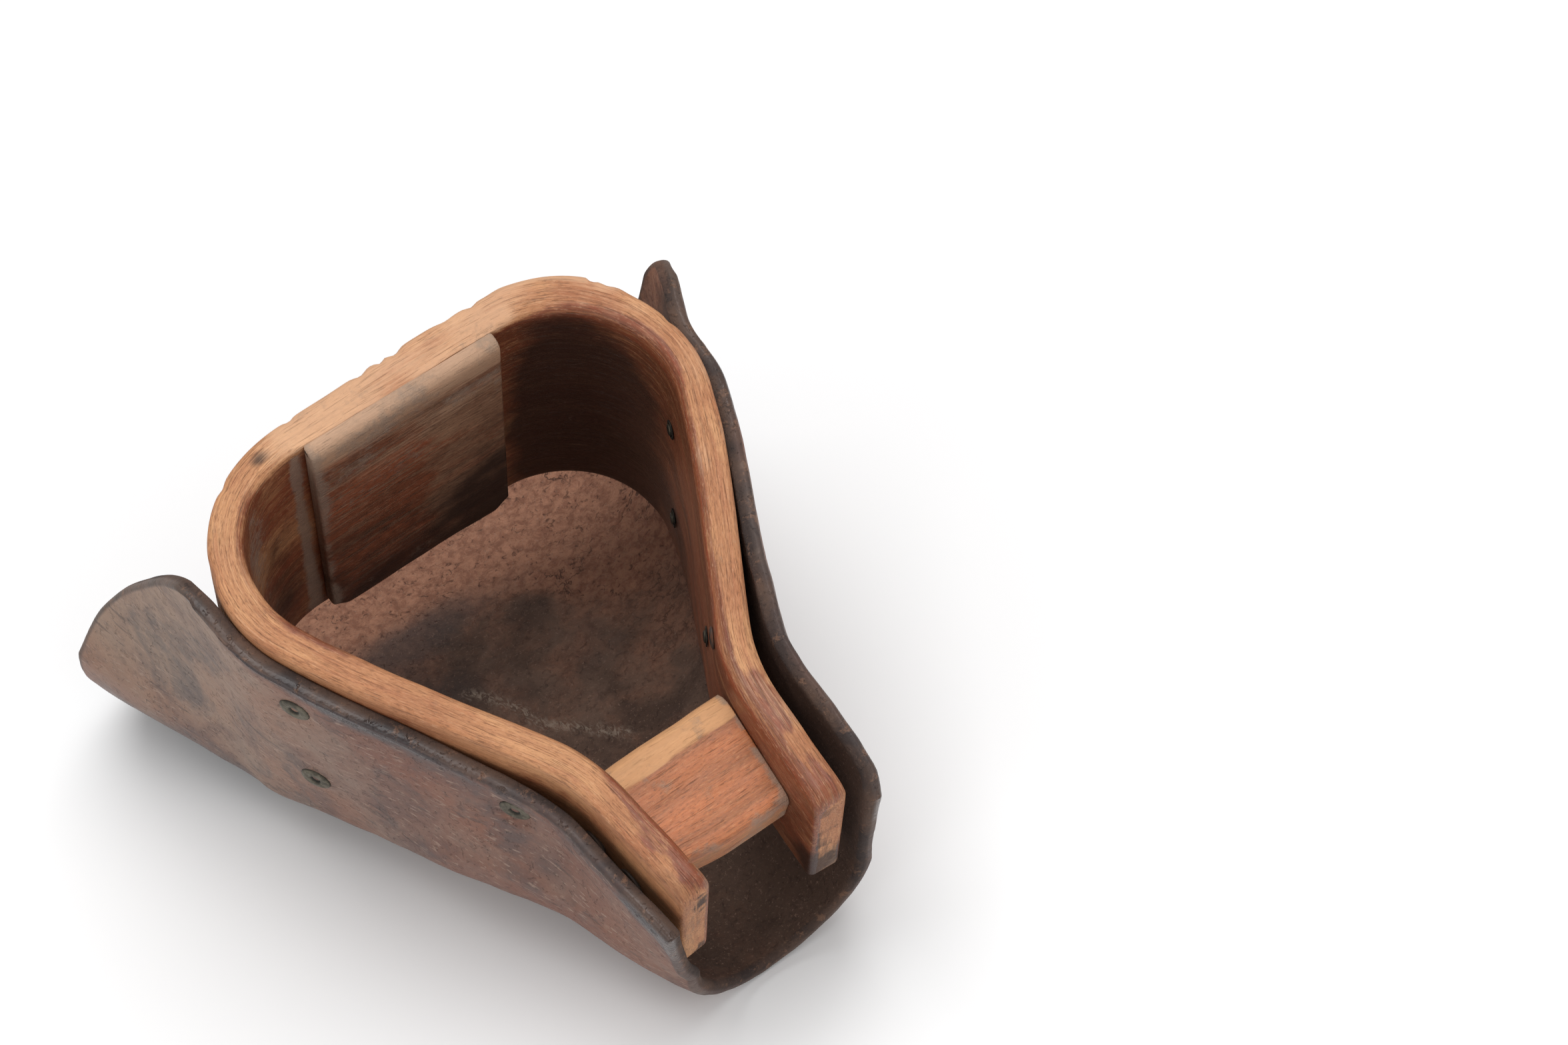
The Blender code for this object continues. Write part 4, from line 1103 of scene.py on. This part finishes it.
def washer(name, inner, outer, half, centre, axis, material, seed, sides=40):
    """A flat ring with rounded edges. half is half its thickness."""
    upper = [(inner, half * 0.6), (inner + 0.3 * MM, half), (outer - 0.35 * MM, half),
             (outer - 0.1 * MM, half * 0.7)]
    section = upper + [(outer, 0)] + [(r, -h) for r, h in upper[::-1]]
    section = np.array(section)
    x_axis, y_axis, z_axis = axes_round(axis)
    angle = np.arange(sides) / sides * 2 * math.pi
    turn = np.cos(angle)[:, None] * x_axis + np.sin(angle)[:, None] * y_axis
    points = np.array(centre) + section[None, :, :1] * turn[:, None] + section[None, :, 1:] * z_axis
    points = points + 0.05 * MM * fractal(points, 2, seed)[..., None] * z_axis
    count = len(section)
    faces = []
    for k in range(sides):
        for j in range(count):
            a, b = k * count + j, k * count + (j + 1) % count
            c, d = (k + 1) % sides * count + (j + 1) % count, (k + 1) % sides * count + j
            faces.append((a, b, c, d))
    radial = np.broadcast_to(section[None, :, 0], points.shape[:2])
    return add_object(name, points, faces, {"radial": radial}, material)


def make_iron():
    """Peened rivets through the ears and transom, and the nails at the neck."""
    for number in (1, 2):
        node = f"transom_rivet_{number}"
        co, centre = corners_of(node)
        tip = (co[:, 0].max() - co[:, 0].min()) / 2
        half = tip - 1.1 * MM
        end = in_metres(((0, 0), (1.2, -0.1), (2.3, -0.4)), tip)
        end += in_metres(((3.1, 0.3), (3.4, 0.05), (2.4, 0)), half)
        profile = end + [(r, -h) for r, h in end[::-1]]
        rivet = turned(f"neck_rivet_{number}", profile, centre, (1, 0, 0), IRON, seed=400 + number)
        finish_piece(rivet, "iron", node)
    for word, side in (("left", -1), ("right", 1)):
        node = f"neck_nail_{word}"
        co = corners_of(node)[0]
        slope = side_slant(NAIL_HEIGHT)
        out = Vector((side / slope, -math.sqrt(1 - 1 / slope ** 2), 0))
        along = co @ np.array(out)
        head = co[along < along.min() + 1.2 * MM]
        centre = Vector((head.min(0) + head.max(0)) / 2)
        nail = turned(f"nail_{word}", in_metres(NAIL), centre, -out, IRON, seed=420 + side)
        finish_piece(nail, "iron", node)


# ---- studio

# Square lights: name, place, target, size in metres, watts
LIGHTS = (("overhead", (0.15, 0.20, 1.9), (0, 0, 0), 1.8, 28),
          ("left_fill", (-1.7, -0.5, 1.0), (0, 0, 0.05), 1.4, 6.5),
          ("front_fill", (0.3, -1.7, 1.3), (0, 0, 0.05), 1.4, 9))
SKY_STRENGTH = 0.48


def make_studio():
    bpy.ops.mesh.primitive_plane_add(size=12)
    floor = bpy.context.object
    floor.name = "floor"
    p = Paint("paper")
    ground = p.node("ShaderNodeTexCoord").outputs["Object"]
    colour = p.mix(p.noise(ground, 3, 3, 0.5), (0.86, 0.86, 0.865), (0.9, 0.9, 0.9))
    floor.data.materials.append(p.finish(colour, 0.75, p.noise(ground, 60, 2), 0.05 * MM, 0.2))
    world = bpy.data.worlds.new("studio")
    bpy.context.scene.world = world
    world.use_nodes = True
    sky = world.node_tree.nodes["Background"].inputs
    sky["Color"].default_value = (1.0, 1.0, 1.0, 1)
    sky["Strength"].default_value = SKY_STRENGTH
    for name, place, target, size, power in LIGHTS:
        light = bpy.data.lights.new(name, "AREA")
        light.shape = "SQUARE"
        light.size = size
        light.energy = power
        lamp = bpy.data.objects.new(name, light)
        bpy.context.scene.collection.objects.link(lamp)
        lamp.location = place
        lamp.rotation_euler = (Vector(target) - Vector(place)).to_track_quat("-Z", "Y").to_euler()
    bpy.context.scene.view_settings.view_transform = "Standard"


CAMERA_AZIMUTH, CAMERA_ELEVATION, CAMERA_ROLL = (math.radians(a) for a in (-27.07, 46.61, -12.55))
CAMERA_TARGET = Vector((0.0760, -0.0303, 0.0772))
CAMERA_DISTANCE = 1.0755
CAMERA_LENS = 84.18


def make_camera():
    camera = bpy.data.objects.new("camera", bpy.data.cameras.new("camera"))
    bpy.context.scene.collection.objects.link(camera)
    camera.data.lens = CAMERA_LENS
    camera.data.sensor_width = 36
    back = Vector((math.sin(CAMERA_AZIMUTH) * math.cos(CAMERA_ELEVATION),
                   -math.cos(CAMERA_AZIMUTH) * math.cos(CAMERA_ELEVATION), math.sin(CAMERA_ELEVATION)))
    level = (-back).cross(Vector((0, 0, 1))).normalized()
    up = level.cross(-back)
    right = math.cos(CAMERA_ROLL) * level + math.sin(CAMERA_ROLL) * up
    top = math.cos(CAMERA_ROLL) * up - math.sin(CAMERA_ROLL) * level
    turn = Matrix((right, top, back)).transposed()
    camera.matrix_world = Matrix.Translation(CAMERA_TARGET + CAMERA_DISTANCE * back) @ turn.to_4x4()
    bpy.context.scene.camera = camera


make_camera()
make_bow()
make_block()
make_transom()
make_hood()
make_hood_rivets()
make_washers()
make_iron()
make_studio()

bpy.context.view_layer.update()
